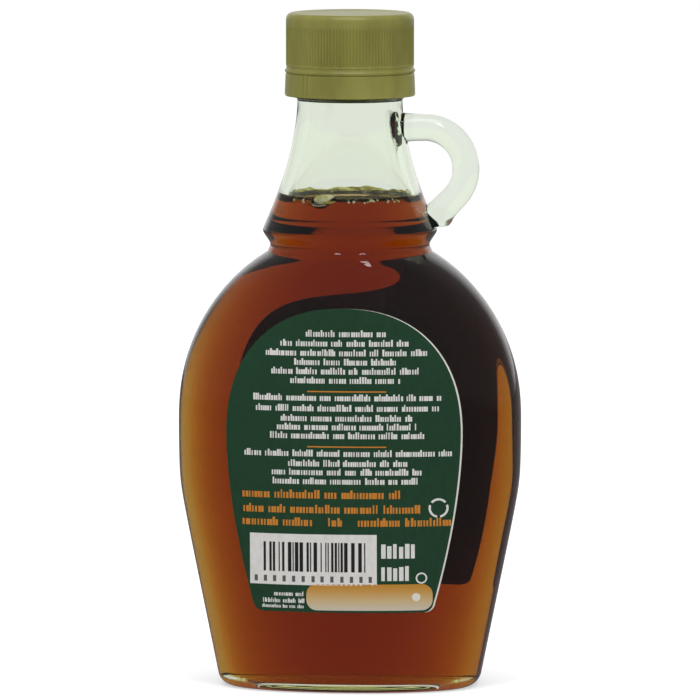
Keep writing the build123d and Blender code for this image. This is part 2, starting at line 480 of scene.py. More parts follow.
CLEAR_GLASS = ClearBody(
    "clear_glass", GLASS_INDEX, GLASS_INDEX / SYRUP_INDEX, GLASS_ABSORBED, GLASS_DENSITY, (0.955, 0.972, 0.94)
)
SYRUP = ClearBody("maple_syrup_depth", SYRUP_INDEX, 1.0, SYRUP_ABSORBED, SYRUP_DENSITY)
SYRUP_FILM = ClearBody("syrup_film", SYRUP_INDEX, SYRUP_INDEX, (0.05, 0.2, 0.75), 900.0)


@dataclass(frozen=True)
class FrothAndGlint:
    """Pale yellow froth of syrup, also used for a painted glint in the big bubble: a soft glossy body with
    lighter and darker cells.
    """

    name: str = "syrup_froth_and_glint"
    dark: Colour = linear(205, 198, 118)
    light: Colour = linear(250, 248, 214)

    def material(self) -> bpy.types.Material:
        """Builds the material from a coarse cell noise.

        Returns:
            The material.
        """
        tree = Tree(self.name)
        shader = tree.add("ShaderNodeBsdfPrincipled", Roughness=0.12, IOR=1.42)
        cells = tree.noise(700.0, 2.0)
        tree.join(tree.ramp(cells, [(0.35, self.dark), (0.62, self.light)]), shader.inputs["Base Color"])
        tree.surface(shader)
        return tree.material


@dataclass(frozen=True)
class RimFilm:
    """A film so thin that it only tints what is behind it, more in some places than in others."""

    name: str = "syrup_rim_film"
    dark: Colour = linear(168, 158, 84)
    light: Colour = linear(224, 222, 178)

    def material(self) -> bpy.types.Material:
        """Builds the material: a clear tint that varies by stretched noise.

        Returns:
            The material.
        """
        tree = Tree(self.name)
        shader = tree.add("ShaderNodeBsdfTransparent")
        streaks = tree.noise(420.0, 3.0, (1.0, 1.0, 1.6))
        tree.join(tree.ramp(streaks, [(0.4, self.dark), (0.6, self.light)]), shader.inputs["Color"])
        tree.surface(shader)
        return tree.material


@dataclass(frozen=True)
class CapPlastic:
    """Moulded olive plastic with a fine mottle and a satin gloss.

    Attributes:
        name: the material's name.
        dark: colour of the darker flow marks.
        light: colour of the lighter ones.
        roughness: mean roughness.
    """

    name: str = "olive_cap_plastic"
    dark: Colour = linear(131, 129, 58)
    light: Colour = linear(152, 149, 72)
    roughness: float = 0.34

    def material(self) -> bpy.types.Material:
        """Builds the material from a slow mottle, a fine grain and a satin sheen.

        Returns:
            The material.
        """
        tree = Tree(self.name)
        shader = tree.add("ShaderNodeBsdfPrincipled", IOR=1.49)
        mottle = tree.noise(140.0, 4.0, (1.0, 1.0, 0.35))
        tree.join(tree.ramp(mottle, [(0.35, self.dark), (0.68, self.light)]), shader.inputs["Base Color"])
        grain = tree.noise(2600.0, 2.0)
        spread = tree.add("ShaderNodeMapRange")
        spread.inputs["To Min"].default_value = self.roughness - 0.06
        spread.inputs["To Max"].default_value = self.roughness + 0.08
        tree.join(mottle, spread.inputs["Value"])
        tree.join(spread.outputs["Result"], shader.inputs["Roughness"])
        tree.join(tree.bump(grain, 0.12, 0.00004), shader.inputs["Normal"])
        tree.surface(shader)
        return tree.material


@dataclass(frozen=True)
class PrintedPaper:
    """Coated label paper or an ink on it, with faint fibre in its colour and a soft gloss.

    Attributes:
        name: the material's name.
        ink: the mean colour.
        unevenness: how far the fibres lighten and darken it, as a share.
        roughness: roughness of the coating.
    """

    name: str
    ink: Colour
    unevenness: float = 0.06
    roughness: float = 0.42

    def material(self) -> bpy.types.Material:
        """Builds the material from the ink, mottled by stretched fibre noise.

        Returns:
            The material.
        """
        tree = Tree(self.name)
        shader = tree.add("ShaderNodeBsdfPrincipled", IOR=1.45)
        fibre = tree.noise(900.0, 5.0, (1.0, 1.0, 0.5))
        low = tuple(channel * (1 - self.unevenness) for channel in self.ink)
        high = tuple(min(1.0, channel * (1 + self.unevenness)) for channel in self.ink)
        tree.join(tree.ramp(fibre, [(0.3, low), (0.7, high)]), shader.inputs["Base Color"])
        shader.inputs["Roughness"].default_value = self.roughness
        tree.join(tree.bump(fibre, 0.08, 0.00003), shader.inputs["Normal"])
        tree.surface(shader)
        return tree.material


@dataclass(frozen=True)
class GradedInk:
    """An ink that fades from one colour to another up the label.

    Attributes:
        name: the material's name.
        low_z: height where the fade starts, in millimetres.
        high_z: height where it ends.
        stops: (share of the way up, colour) pairs.
    """

    name: str
    low_z: float
    high_z: float
    stops: tuple[tuple[float, Colour], ...]

    def material(self) -> bpy.types.Material:
        """Builds the material: a ramp over the Object height between the two ends.

        Returns:
            The material.
        """
        tree = Tree(self.name)
        shader = tree.add("ShaderNodeBsdfPrincipled", IOR=1.45, Roughness=0.4)
        parts = tree.add("ShaderNodeSeparateXYZ")
        tree.join(tree.place(), parts.inputs[0])
        share = tree.add("ShaderNodeMapRange")
        share.inputs["From Min"].default_value = self.low_z * MM
        share.inputs["From Max"].default_value = self.high_z * MM
        tree.join(parts.outputs["Z"], share.inputs["Value"])
        tree.join(tree.ramp(share.outputs["Result"], list(self.stops)), shader.inputs["Base Color"])
        tree.surface(shader)
        return tree.material


# --------------------------------------------------------------------------------------------------
# Glass
# --------------------------------------------------------------------------------------------------


@dataclass
class JugForm:
    """The jug's shape as formulas: level ovals for the body, circles for the neck. Millimetres."""

    belly_half_width: float = 39.6
    belly_half_depth: float = 21.0
    belly_z: float = 63.0
    base_half_width: float = 29.9
    base_half_depth: float = 18.9
    bluntness: float = 0.8
    taper_end_z: float = 47.5
    taper_softness: float = 0.45
    shoulder_softness: float = 2.5
    shoulder_rise_wide: float = 42.6
    shoulder_rise_deep: float = 38.5
    shoulder_power_deep: float = 9.0
    shoulder_top_z: float = 100.3
    wall: float = 2.0
    end_wall: float = 5.0
    crease_softness: float = 0.28
    groove_radius: float = 18.3
    groove_z: float = 102.5
    bead_z: float = 101.0
    bead_height: float = 0.4
    bead_spread: float = 0.6
    collar_slope: float = 0.74
    collar_softness: float = 0.32
    collar_edge_softness: float = 0.3
    foot_bulge: float = 0.45
    foot_bulge_height: float = 1.5
    neck_radius: float = 12.1
    flare_z: float = 104.3
    flare_height: float = 30.8
    flare_growth: float = 8.7
    flare_power: float = 1.7
    bore_radius: float = 9.2
    collar_bore_radius: float = 16.2
    bore_ease_low_z: float = 103.0
    bore_ease_high_z: float = 133.0
    inner_softness: float = 0.7

    def taper(self, z: Rows, foot: float, belly: float) -> Rows:
        """Half size up to the belly: a straight line from foot towards belly, softly stopped there."""
        straight = foot + (belly - foot) * np.minimum(z, self.belly_z) / self.taper_end_z
        return soft_smaller(straight, belly, self.taper_softness)

    def closing(self, z: Rows, rise: float, power: float = 2.0) -> Rows:
        """Share of the size left above the belly: what a power of the climb leaves, to one over that power.

        Args:
            z: heights.
            rise: climb over the belly at which the size comes to nothing.
            power: power of the climbed share.

        Returns:
            The share at each height.
        """
        start = self.shoulder_softness
        climbed = start * np.logaddexp(0.0, (z - self.belly_z) / start) / rise
        climbed = np.clip(climbed, 0.0, 0.9995)
        return (1 - climbed**power) ** (1 / power)

    def half_width(self, z: Rows) -> Rows:
        """Outer half width of the body at height z."""
        size = self.taper(z, self.base_half_width, self.belly_half_width)
        return size * self.closing(z, self.shoulder_rise_wide)

    def half_depth(self, z: Rows) -> Rows:
        """Outer half depth of the body at height z."""
        size = self.taper(z, self.base_half_depth, self.belly_half_depth)
        return size * self.closing(z, self.shoulder_rise_deep, self.shoulder_power_deep)

    def neck_outside(self, z: Rows) -> Rows:
        """Outer radius of the neck: a grooved foot, a collar's underside and the flare, softly joined.

        Args:
            z: heights.

        Returns:
            The radius at each height.
        """
        past = (z - self.groove_z) / self.collar_softness
        underside = self.groove_radius + self.collar_slope * self.collar_softness * np.logaddexp(0.0, past)
        share = np.clip((z - self.flare_z) / self.flare_height, -0.3, 1.0)
        flare = self.neck_radius + self.flare_growth * (1 - share) ** self.flare_power
        bead = self.bead_height * np.exp(-(((z - self.bead_z) / self.bead_spread) ** 2))
        foot = self.foot_bulge * np.clip((self.bead_z - z) / self.foot_bulge_height, 0.0, 1.0)
        return soft_smaller(underside, flare, self.collar_edge_softness) + bead + foot

    def bore(self, z: Rows) -> Rows:
        """Inner radius of the neck: half a cosine wave from the collar's bore down to the top bore.

        Args:
            z: heights.

        Returns:
            The radius at each height.
        """
        share = np.clip((z - self.bore_ease_low_z) / (self.bore_ease_high_z - self.bore_ease_low_z), 0.0, 1.0)
        wider = self.collar_bore_radius - self.bore_radius
        return self.bore_radius + wider * (1 + np.cos(np.pi * share)) / 2

    def power_at(self, z: Rows) -> Rows:
        """Power of the depth in the oval: over two makes blunt ends, and it eases to two at the neck."""
        climbed = np.clip((z - self.belly_z) / (self.shoulder_top_z - self.belly_z), 0.0, 1.0)
        return 2 + self.bluntness * (1 + np.cos(np.pi * climbed)) / 2

    @staticmethod
    def oval_reach(turn: Rows, power: Rows) -> Rows:
        """How far a ray reaches in a blunt oval of half sizes one, by Newton's method.

        On the outline the square of the share across and a power of the share deep add up to one.

        Args:
            turn: the rays' angles.
            power: the power of the share deep.

        Returns:
            The reach of every ray.
        """
        across, deep = np.abs(np.cos(turn)), np.abs(np.sin(turn))
        reach = np.full(np.broadcast(across, power).shape, FIRST_REACH)
        for _ in range(NEWTON_STEPS):
            excess = (reach * across) ** 2 + (reach * deep) ** power - 1
            reach = reach - excess / (2 * reach * across**2 + power * reach ** (power - 1) * deep**power)
        return reach

    def oval_rings(
        self, z: Rows, wide: Rows, deep: Rows, turn: Rows, round_radius: Rows, softness: Rows
    ) -> Rows:
        """Level rings of a blunt oval softly joined with a circle: the larger of the two radii along a ray.

        Args:
            z: height of each ring.
            wide: half width of each ring's oval.
            deep: half depth of each ring's oval.
            turn: the angles round a ring.
            round_radius: each ring's circle, which may be as small as nothing.
            softness: how far each ring's joint between oval and circle is rounded.

        Returns:
            The rings' points as (ring, place, axis).
        """
        reach = self.oval_reach(turn, self.power_at(z)[:, None])
        x, y = wide[:, None] * reach * np.cos(turn), deep[:, None] * reach * np.sin(turn)
        radius = np.hypot(x, y)
        share = soft_larger(radius, round_radius[:, None], softness[:, None]) / radius
        return np.stack([x * share, y * share, np.broadcast_to(z[:, None], x.shape)], axis=-1)

    def outside_rings(self, z: Rows, turn: Rows, grow: float = 0.0) -> Rows:
        """Rings of the outer surface at heights z, grown outwards by a length.

        Args:
            z: heights.
            turn: the angles round a ring.
            grow: length by which the rings grow outwards.

        Returns:
            The rings' points as (ring, place, axis).
        """
        softness = self.crease_softness * np.clip((self.shoulder_top_z + 4 - z) / 4, 0.0, 1.0)
        softness = softness * np.clip((z - self.belly_z) / 20, 0.0, 1.0)
        neck = np.where(z > self.belly_z, self.neck_outside(z), 1.0)
        above = z > self.shoulder_top_z + 3
        wide = np.where(above, 1.0, self.half_width(z))
        deep = np.where(above, 1.0, np.minimum(self.half_depth(z), self.half_width(z) * 2))
        return self.oval_rings(z, wide + grow, deep + grow, turn, neck + grow, softness)

    def inside_rings(self, z: Rows, turn: Rows, grow: float = 0.0, inset: Rows | float = 0.0) -> Rows:
        """Rings of the inner surface at heights z, grown outwards by a length and drawn in by an inset.

        Args:
            z: heights.
            turn: the angles round a ring.
            grow: length by which the rings grow outwards.
            inset: length by which the ovals are drawn in.

        Returns:
            The rings' points as (ring, place, axis).
        """
        climb = np.clip((z - self.belly_z) / (self.shoulder_top_z - self.belly_z), 0.0, 1.0)
        softness = self.inner_softness * climb * np.clip((self.bore_ease_low_z + 2 - z) / 3, 0.0, 1.0)
        bore = np.where(z > self.belly_z, self.bore(z), 1.0)
        wide = self.taper(z, self.base_half_width, self.belly_half_width) - self.end_wall
        deep = self.taper(z, self.base_half_depth, self.belly_half_depth) - self.wall
        wide = wide * self.closing(z, self.shoulder_rise_wide - self.wall)
        deep = deep * self.closing(z, self.shoulder_rise_deep - self.wall, self.shoulder_power_deep)
        deep = np.minimum(deep, wide * 2)
        above = z > self.bore_ease_low_z + 1
        wide, deep = np.where(above, 1.0, wide), np.where(above, 1.0, deep)
        return self.oval_rings(z, wide + grow - inset, deep + grow - inset, turn, bore + grow, softness)

    def front_depth(self, x: Rows, z: Rows) -> Rows:
        """Depth of the outer face at (x, z): what the squared share across leaves, to one over the power."""
        across = np.clip(x / self.half_width(z), -0.999, 0.999)
        return self.half_depth(z) * (1 - across**2) ** (1 / self.power_at(z))

    def front_normal(self, x: Rows, z: Rows) -> tuple[Rows, Rows]:
        """Level part of the outer surface's normal at (x, z), from the slope of the oval's formula.

        Args:
            x: places across.
            z: heights.

        Returns:
            The normal's x and y.
        """
        power, wide, deep = self.power_at(z), self.half_width(z), self.half_depth(z)
        normal_x = 2 * x / wide**2
        normal_y = power * (self.front_depth(x, z) / deep) ** (power - 1) / deep
        length = np.hypot(normal_x, normal_y)
        return normal_x / length, normal_y / length


@dataclass
class GlassJug:
    """The glass flask: base, body, neck, lip and cavity as one skin, joined with the ring handle."""

    form: JugForm
    contact_z: float
    around: int = 176
    heel_radius: float = 2.6
    base_thickness: float = 1.9
    inner_heel_radius: float = 1.6
    floor_crown: float = 0.3
    recess_depth: float = 0.7
    recess_inset: float = 7.0
    recess_slope: float = 1.2
    finish_radius: float = 12.8
    finish_z: float = 135.6
    retaining_bead_radius: float = 13.5
    retaining_bead_z: float = 139.6
    retaining_bead_height: float = 2.0
    lip_round: float = 1.0
    handle_z: float = 129.1
    handle_turn_radius: float = 9.44
    handle_turn_x: float = 17.3
    handle_turn_angle: float = 134.0
    bar_half_width: float = 3.1
    bar_half_depth: float = 3.6
    root_x: float = 10.6
    foot_x: float = 17.4
    root_spread: float = 3.4
    foot_spread: float = 4.6
    root_swell: float = 0.12
    foot_width_swell: float = 0.18
    foot_depth_swell: float = 0.25
    foot_draw: float = 1.05
    lip_z: float = field(init=False)

    def __post_init__(self) -> None:
        """Takes the lip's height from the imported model."""
        self.lip_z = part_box("glass_jug")[1][2] / MM

    def base_rings(self, turn: Rows) -> Rows:
        """Rings from the middle of the recess out: a crowned disc, its edge, the foot ring and the heel.

        Args:
            turn: the angles round a ring.

        Returns:
            The rings' points as (ring, place, axis).
        """
        wide, deep = self.form.base_half_width, self.form.base_half_depth
        share = np.linspace(0.08, 1.0, 12)
        inner = self.recess_inset + self.recess_slope
        rings = [(share * (wide - inner), share * (deep - inner), self.recess_depth + 0.2 * (1 - share**2))]
        edge = np.linspace(0.12, 1.0, 9)
        fall = self.recess_depth * (1 + np.cos(np.pi * edge)) / 2
        inset = inner - edge * self.recess_slope
        rings.append((wide - inset, deep - inset, fall))
        foot = np.linspace(self.recess_inset - 0.4, self.heel_radius + 0.3, 8)
        rings.append((wide - foot, deep - foot, 0.0 * foot))
        arc = np.linspace(0.0, np.pi / 2, 14)
        height = self.heel_radius * (1 - np.cos(arc))
        inset = self.heel_radius * (1 - np.sin(arc))
        rings.append((self.form.half_width(height) - inset, self.form.half_depth(height) - inset, height))
        across = np.concatenate([ring[0] for ring in rings])[:, None]
        along = np.concatenate([ring[1] for ring in rings])[:, None]
        level = np.concatenate([ring[2] for ring in rings])[:, None]
        reach = self.form.oval_reach(turn, self.form.power_at(level))
        x, y = across * reach * np.cos(turn), along * reach * np.sin(turn)
        return np.stack([x, y, np.broadcast_to(level, x.shape)], axis=-1)

    def finish_rings(self, turn: Rows) -> Rows:
        """Rings of the finish under the cap: a step out, the bead as half a sine wave, the rounded lip.

        Args:
            turn: the angles round a ring.

        Returns:
            The rings' points as (ring, place, axis).
        """
        low = self.retaining_bead_z - self.retaining_bead_height / 2
        step = np.linspace(0.0, 1.0, 5)
        out = self.finish_radius - self.form.neck_radius
        radius = [self.form.neck_radius + out * (1 - np.cos(np.pi * step)) / 2]
        level = [self.finish_z + 0.5 * step]
        rise = np.linspace(0.0, 1.0, 9)
        bulge = self.retaining_bead_radius - self.finish_radius
        radius.append(self.finish_radius + bulge * np.sin(np.pi * rise))
        level.append(low + self.retaining_bead_height * rise)
        arc = np.linspace(0.0, np.pi / 2, 7)
        radius.append(self.finish_radius - self.lip_round * (1 - np.cos(arc)))
        level.append(self.lip_z - self.lip_round * (1 - np.sin(arc)))
        radius.append(self.form.bore_radius + self.lip_round * (1 - np.sin(arc)))
        level.append(self.lip_z - self.lip_round * (1 - np.cos(arc)))
        return turned_rings(np.concatenate(radius)[:, None], np.concatenate(level), turn)

    def floor_rings(self, turn: Rows) -> Rows:
        """Rings of the inner heel and floor, from the wall in: a quarter round, then a crowned disc.

        Args:
            turn: the angles round a ring.

        Returns:
            The rings' points as (ring, place, axis).
        """
        arc = np.linspace(np.pi / 2, 0.0, 14)[1:]
        level = self.base_thickness + self.inner_heel_radius * (1 - np.cos(arc))
        inset = self.inner_heel_radius * (1 - np.sin(arc))
        heel = self.form.inside_rings(level, turn, inset=inset)
        share = np.linspace(0.97, 0.06, 16)[:, None, None]
        floor = heel[-1][None] * np.array([1.0, 1.0, 0.0]) * share
        floor[..., 2] = self.base_thickness + self.floor_crown * (1 - share[..., 0] ** 2) ** 2
        return np.concatenate([heel, floor])

    def skin(self) -> MeshParts:
        """The flask without its handle: one closed skin from the base, over the lip, to the inner floor.

        Returns:
            The closed skin.
        """
        turn = np.linspace(0, 2 * np.pi, self.around, endpoint=False)
        side = runs(
            (self.heel_radius + 0.9, 93.0, 1.25), (93.0, 98.0, 0.5), (98.0, 104.0, 0.11), (104.0, 108.0, 0.22)
        )
        neck = runs((108.0, 120.0, 0.7), (120.0, self.finish_z - 0.4, 0.9))[1:]
        outer = self.form.outside_rings(np.concatenate([side, neck]), turn)
        bore_top = self.lip_z - self.lip_round - 0.6
        dry = runs((bore_top, 134.0, 2.5), (134.0, self.contact_z, 0.9))
        heel_top = self.base_thickness + self.inner_heel_radius + 0.8
        wet = runs((self.contact_z, 104.0, 0.7), (104.0, 92.0, 0.45), (92.0, heel_top, 1.4))[1:]
        inner = self.form.inside_rings(np.concatenate([dry, wet]), turn)
        floor = self.floor_rings(turn)
        blocks = [self.base_rings(turn), outer, self.finish_rings(turn), inner, floor]
        rings = np.concatenate(blocks)
        dry_bands = len(blocks[0]) + len(outer) + len(blocks[2]) + len(dry) - 1
        slots = np.zeros(len(rings) - 1, dtype=int)
        slots[dry_bands:] = 1
        low = np.array([0.0, 0.0, self.recess_depth + 0.2])
        high = np.array([0.0, 0.0, self.base_thickness + self.floor_crown])
        return ring_surface(rings, low, high, slots)

    def handle_line(self) -> tuple[Rows, Rows, Rows]:
        """The handle's middle line: level out of the neck, round an arc, and straight down into the collar.

        Returns:
            x and z of the line's points, and the angle that the line has turned at each.
        """
        angle = math.radians(self.handle_turn_angle)
        level = np.linspace(self.root_x, self.handle_turn_x, 16, endpoint=False)
        turned = np.linspace(0.0, angle, 40, endpoint=False)
        end_x = self.handle_turn_x + self.handle_turn_radius * math.sin(angle)
        end_z = self.handle_z - self.handle_turn_radius * (1 - math.cos(angle))
        length = (self.foot_x - end_x) / math.cos(angle)
        down = np.linspace(0.0, length, 20)
        arc_x = self.handle_turn_x + self.handle_turn_radius * np.sin(turned)
        arc_z = self.handle_z - self.handle_turn_radius * (1 - np.cos(turned))
        x = np.concatenate([level, arc_x, end_x + down * math.cos(angle)])
        z = np.concatenate([level * 0 + self.handle_z, arc_z, end_z - down * math.sin(angle)])
        return x, z, np.concatenate([level * 0, turned, down * 0 + angle])

    def handle(self) -> MeshParts:
        """The bar as ellipses carried along its line, which swell near both ends.

        The swell falls off as a power of e with the squared distance from the end. At the foot the outer
        side is drawn back up the line, so that the end lies inside the collar.

        Returns:
            The closed bar.
        """
        x, z, angle = self.handle_line()
        along = np.cumsum(np.hypot(np.diff(x, prepend=x[0]), np.diff(z, prepend=z[0])))
        swell_root = np.exp(-((along / self.root_spread) ** 2))
        swell_foot = np.exp(-(((along[-1] - along) / self.foot_spread) ** 2))
        width = self.bar_half_width * (1 + self.root_swell * swell_root + self.foot_width_swell * swell_foot)
        depth = self.bar_half_depth * (1 + self.root_swell * swell_root + self.foot_depth_swell * swell_foot)
        turn = np.linspace(0, 2 * np.pi, 40, endpoint=False)
        out_x, out_z = np.sin(angle)[:, None], np.cos(angle)[:, None]
        across = width[:, None] * np.cos(turn)
        drawn = self.foot_draw * np.maximum(across, 0.0) * swell_foot[:, None]
        ring_x = x[:, None] + out_x * across - out_z * drawn
        ring_z = z[:, None] + out_z * across + out_x * drawn
        rings = np.stack([ring_x, depth[:, None] * np.sin(turn), ring_z], axis=-1)
        return ring_surface(rings, rings[0].mean(axis=0), rings[-1].mean(axis=0))

    def build(self) -> bpy.types.Object:
        """Joins flask and handle into one glass piece and dresses it.

        Returns:
            The finished piece.
        """
        flask = put_mesh("glass_flask", self.skin())
        mark_touching(flask)
        flask.data.materials.append(CLEAR_GLASS.material())
        bar = put_mesh("handle_bar", self.handle())
        mark_touching(bar)
        join = flask.modifiers.new("handle", "BOOLEAN")
        join.operation = "UNION"
        join.object = bar
        join.solver = "EXACT"
        bpy.context.view_layer.update()
        evaluated = flask.evaluated_get(bpy.context.evaluated_depsgraph_get())
        mesh = bpy.data.meshes.new_from_object(evaluated)
        flask.modifiers.clear()
        flask.data = mesh
        bpy.data.objects.remove(bar)
        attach(flask, "root")
        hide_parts("glass_jug")
        report(flask)
        return flask


# --------------------------------------------------------------------------------------------------
# Syrup
# --------------------------------------------------------------------------------------------------


@dataclass
class Syrup:
    """The syrup: a body that reaches just into the glass, with a curved rim and bubbles on its surface.

    Attributes:
        form: the jug that holds it.
        contact_z: height where its surface meets the glass.
        level: height of its surface away from the glass.
        reach: how far its skin lies inside the glass wall, so that no air is left between them.
        floor_z: height of the jug's inner floor at its edge.
        heel_radius: radius of the inner heel.
        floor_crown: how far the floor rises in its middle.
        around: points round each ring.
        rim_spread: gap to the wall over which the climb at the rim falls off.
        big_bubble: place across, place along the depth, and radius of the big bubble.
        pit_depth: depth of the pit under it.
        pit_lip: height of the pit's lip.
        film: thickness of the small bubbles' films.
        eye_half: half sizes of the big bubble's bright eye, a pale bead that is a painted glint.
        rim_film_foot: how far the clinging film starts below the contact line.
        rim_film_height: its mean height over that line.
    """

    form: JugForm
    contact_z: float
    level: float
    reach: float = 0.12
    floor_z: float = 1.9
    heel_radius: float = 1.6
    floor_crown: float = 0.3
    around: int = 240
    rim_spread: float = 1.5
    big_bubble: tuple[float, float, float] = (-5.6, -12.2, 2.3)
    pit_depth: float = 1.9
    pit_lip: float = 0.35
    film: float = 0.06
    eye_half: tuple[float, float, float] = (2.6, 0.3, 1.15)
    rim_film_foot: float = 0.6
    rim_film_height: float = 0.8

    def rim_rise(self, gap: Rows) -> Rows:
        """How far the surface climbs near the glass, falling off as a power of e with the gap to the wall."""
        return (self.contact_z - self.level) * np.exp(-np.maximum(gap, 0.0) / self.rim_spread)

    def top_height(self, x: Rows, y: Rows) -> Rows:
        """Height of the free surface: the level and the climb at the rim, less a round pit at the big bubble.

        Args:
            x: places across.
            y: places along the depth.

        Returns:
            The height at each place.
        """
        wall = self.form.bore(np.array(self.level))
        gap = wall - np.hypot(x, y)
        bubble_x, bubble_y, radius = self.big_bubble
        away = np.hypot(x - bubble_x, y - bubble_y) / radius
        pit = self.pit_depth * np.sqrt(np.clip(1 - away**2, 0.0, 1.0))
        lip = self.pit_lip * np.exp(-(((away - 1.15) / 0.22) ** 2))
        return self.level + self.rim_rise(gap) - pit + lip

    def body(self) -> MeshParts:
        """The syrup as one closed skin: floor, sides up to the contact line, and the free surface.

        Returns:
            The closed body.
        """
        turn = np.linspace(0, 2 * np.pi, self.around, endpoint=False)
        share = np.linspace(0.06, 0.97, 14)[:, None, None]
        arc = np.linspace(0.0, np.pi / 2, 12)
        level = self.floor_z + self.heel_radius * (1 - np.cos(arc))
        heel = self.form.inside_rings(level, turn, self.reach, self.heel_radius * (1 - np.sin(arc)))
        heel[0, :, 2] -= self.reach
        floor = heel[0][None] * np.array([1.0, 1.0, 0.0]) * share
        floor[..., 2] = self.floor_z - self.reach + self.floor_crown * (1 - share[..., 0] ** 2) ** 2
        heel_top = self.floor_z + self.heel_radius + 0.8
        side_z = runs((heel_top, 92.0, 1.6), (92.0, 104.0, 0.5), (104.0, self.contact_z, 0.6))
        side = self.form.inside_rings(side_z, turn, self.reach)
        inward = 1 - np.linspace(0.0, 1.0, 90)[1:-1] ** 1.25
        top = side[-1][None] * inward[:, None, None]
        top[..., 2] = self.top_height(top[..., 0], top[..., 1])
        rings = np.concatenate([floor, heel, side, top])
        slots = np.ones(len(rings) - 1, dtype=int)
        slots[len(floor) + len(heel) + len(side) - 1:] = 0
        low = np.array([0.0, 0.0, self.floor_z - self.reach + self.floor_crown])
        high = np.array([0.0, 0.0, float(self.top_height(np.zeros(1), np.zeros(1))[0])])
        return ring_surface(rings, low, high, slots)

    @staticmethod
    def dome(centre: tuple[float, float, float], radius: float, film: float, cover: float) -> MeshParts:
        """A thin bubble film: part of a sphere, outside and inside, closed along its lower edge.

        Args:
            centre: the sphere's middle.
            radius: its outer radius.
            film: the film's thickness.
            cover: the angle from the top that the film covers, in degrees.

        Returns:
            The closed film.
        """
        turn = np.linspace(0, 2 * np.pi, 28, endpoint=False)
        lean = np.radians(np.linspace(cover, 6.0, 12))
        shells = []
        for size, order in ((radius - film, lean[::-1]), (radius, lean)):
            x = size * np.sin(order)[:, None] * np.cos(turn)
            y = size * np.sin(order)[:, None] * np.sin(turn)
            z = np.broadcast_to(size * np.cos(order)[:, None], x.shape)
            shells.append(np.stack([x, y, z], axis=-1))
        rings = np.concatenate(shells) + np.array(centre)
        inner = np.array(centre) + np.array([0.0, 0.0, radius - film])
        outer = np.array(centre) + np.array([0.0, 0.0, radius])
        return ring_surface(rings, inner, outer)

    def bubbles(self) -> MeshParts:
        """The big bubble's film and a scattered row of small ones along the near rim.

        Returns:
            The films as one mesh.
        """
        rng = np.random.default_rng(8)
        bubble_x, bubble_y, radius = self.big_bubble
        parts = [self.dome((bubble_x, bubble_y, self.level - 0.35), radius + 0.05, 0.07, 88.0)]
        rim = float(self.form.bore(np.array(self.level)))
        stretches = ((262, 318, 15), (214, 236, 6), (20, 170, 8))
        angles = np.radians(np.concatenate([rng.uniform(*stretch) for stretch in stretches]))
        for angle in angles:
            size = rng.uniform(0.28, 0.62)
            gap = size + rng.uniform(0.1, 0.9)
            x, y = (rim - gap) * math.cos(angle), (rim - gap) * math.sin(angle)
            z = self.level + float(self.rim_rise(np.array(gap))) - 0.25 * size
            parts.append(self.dome((x, y, z), size, self.film, 95.0))
        return MeshParts.joined(parts)

    def lens(self, x: float, z: float, half: tuple[float, float, float]) -> MeshParts:
        """A flattened bead against the near wall: rings of an ellipsoid, its poles at its left and right.

        Args:
            x: place across.
            z: height.
            half: half sizes along each axis.

        Returns:
            The closed bead.
        """
        lean = np.linspace(0, np.pi, 20)[1:-1, None]
        turn = np.linspace(0, 2 * np.pi, 28, endpoint=False)[None, :]
        y = -math.sqrt(float(self.form.bore(np.array(z))) ** 2 - x**2)
        centre = np.array([x, y, z])
        out = np.sin(lean)
        sides = (-np.cos(lean) + 0 * turn, out * np.sin(turn), out * np.cos(turn))
        rings = np.stack([size * side for size, side in zip(half, sides, strict=True)], axis=-1) + centre
        end = np.array([half[0], 0.0, 0.0])
        return ring_surface(rings, centre - end, centre + end)

    def froth_and_glint(self) -> MeshParts:
        """A pale bead painted as the big bubble's bright glint, and a row of froth beads where the surface
        meets the near wall.

        Returns:
            The beads as one mesh.
        """
        rng = np.random.default_rng(4)
        # the first bead is a painted glint: a pale bead where the big bubble shows a bright reflection
        parts = [self.lens(self.big_bubble[0] + 1.3, self.level + 1.2, self.eye_half)]
        places = np.concatenate([rng.uniform(0.0, 11.5, 14), rng.uniform(-12.5, -9.0, 4)])
        for x in places:
            size = rng.uniform(0.16, 0.32)
            parts.append(self.lens(float(x), self.level + 0.7 + rng.uniform(-0.4, 0.3), (size, 0.2, size)))
        return MeshParts.joined(parts)

    def rim_film(self) -> MeshParts:
        """A thin clinging film over the contact line: a closed band whose upper edge wavers by three sines.

        Returns:
            The closed band.
        """
        turn = np.linspace(0, 2 * np.pi, self.around, endpoint=False)
        waves = ((0.3, 5, 0.6), (0.2, 11, 0.0), (0.12, 23, 2.0))
        wave = sum(size * np.sin(count * turn + start) for size, count, start in waves)
        height = self.rim_film_height + wave
        share = np.concatenate([np.linspace(0, 1, 6), np.linspace(1, 0, 6)])
        inset = np.concatenate([np.full(6, 0.05), np.full(6, 0.12)])
        z = self.contact_z - self.rim_film_foot + share[:, None] * (self.rim_film_foot + height)
        radius = self.form.bore(z) - inset[:, None]
        rings = np.stack([radius * np.cos(turn), radius * np.sin(turn), z], axis=-1)
        return ring_surface(np.concatenate([rings, rings[:1]]), None, None)

    def extras(self) -> list[bpy.types.Object]:
        """Makes the froth with the painted glint, and the rim's film.

        Returns:
            The pieces made.
        """
        made = []
        kinds = (("froth_and_glint", self.froth_and_glint(), FrothAndGlint()), ("rim_film", self.rim_film(), RimFilm()))
        for name, parts, finish in kinds:
            piece = put_mesh(f"syrup_{name}", parts)
            merge_close(piece)
            piece.data.materials.append(finish.material())
            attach(piece, "root")
            report(piece)
            made.append(piece)
        return made

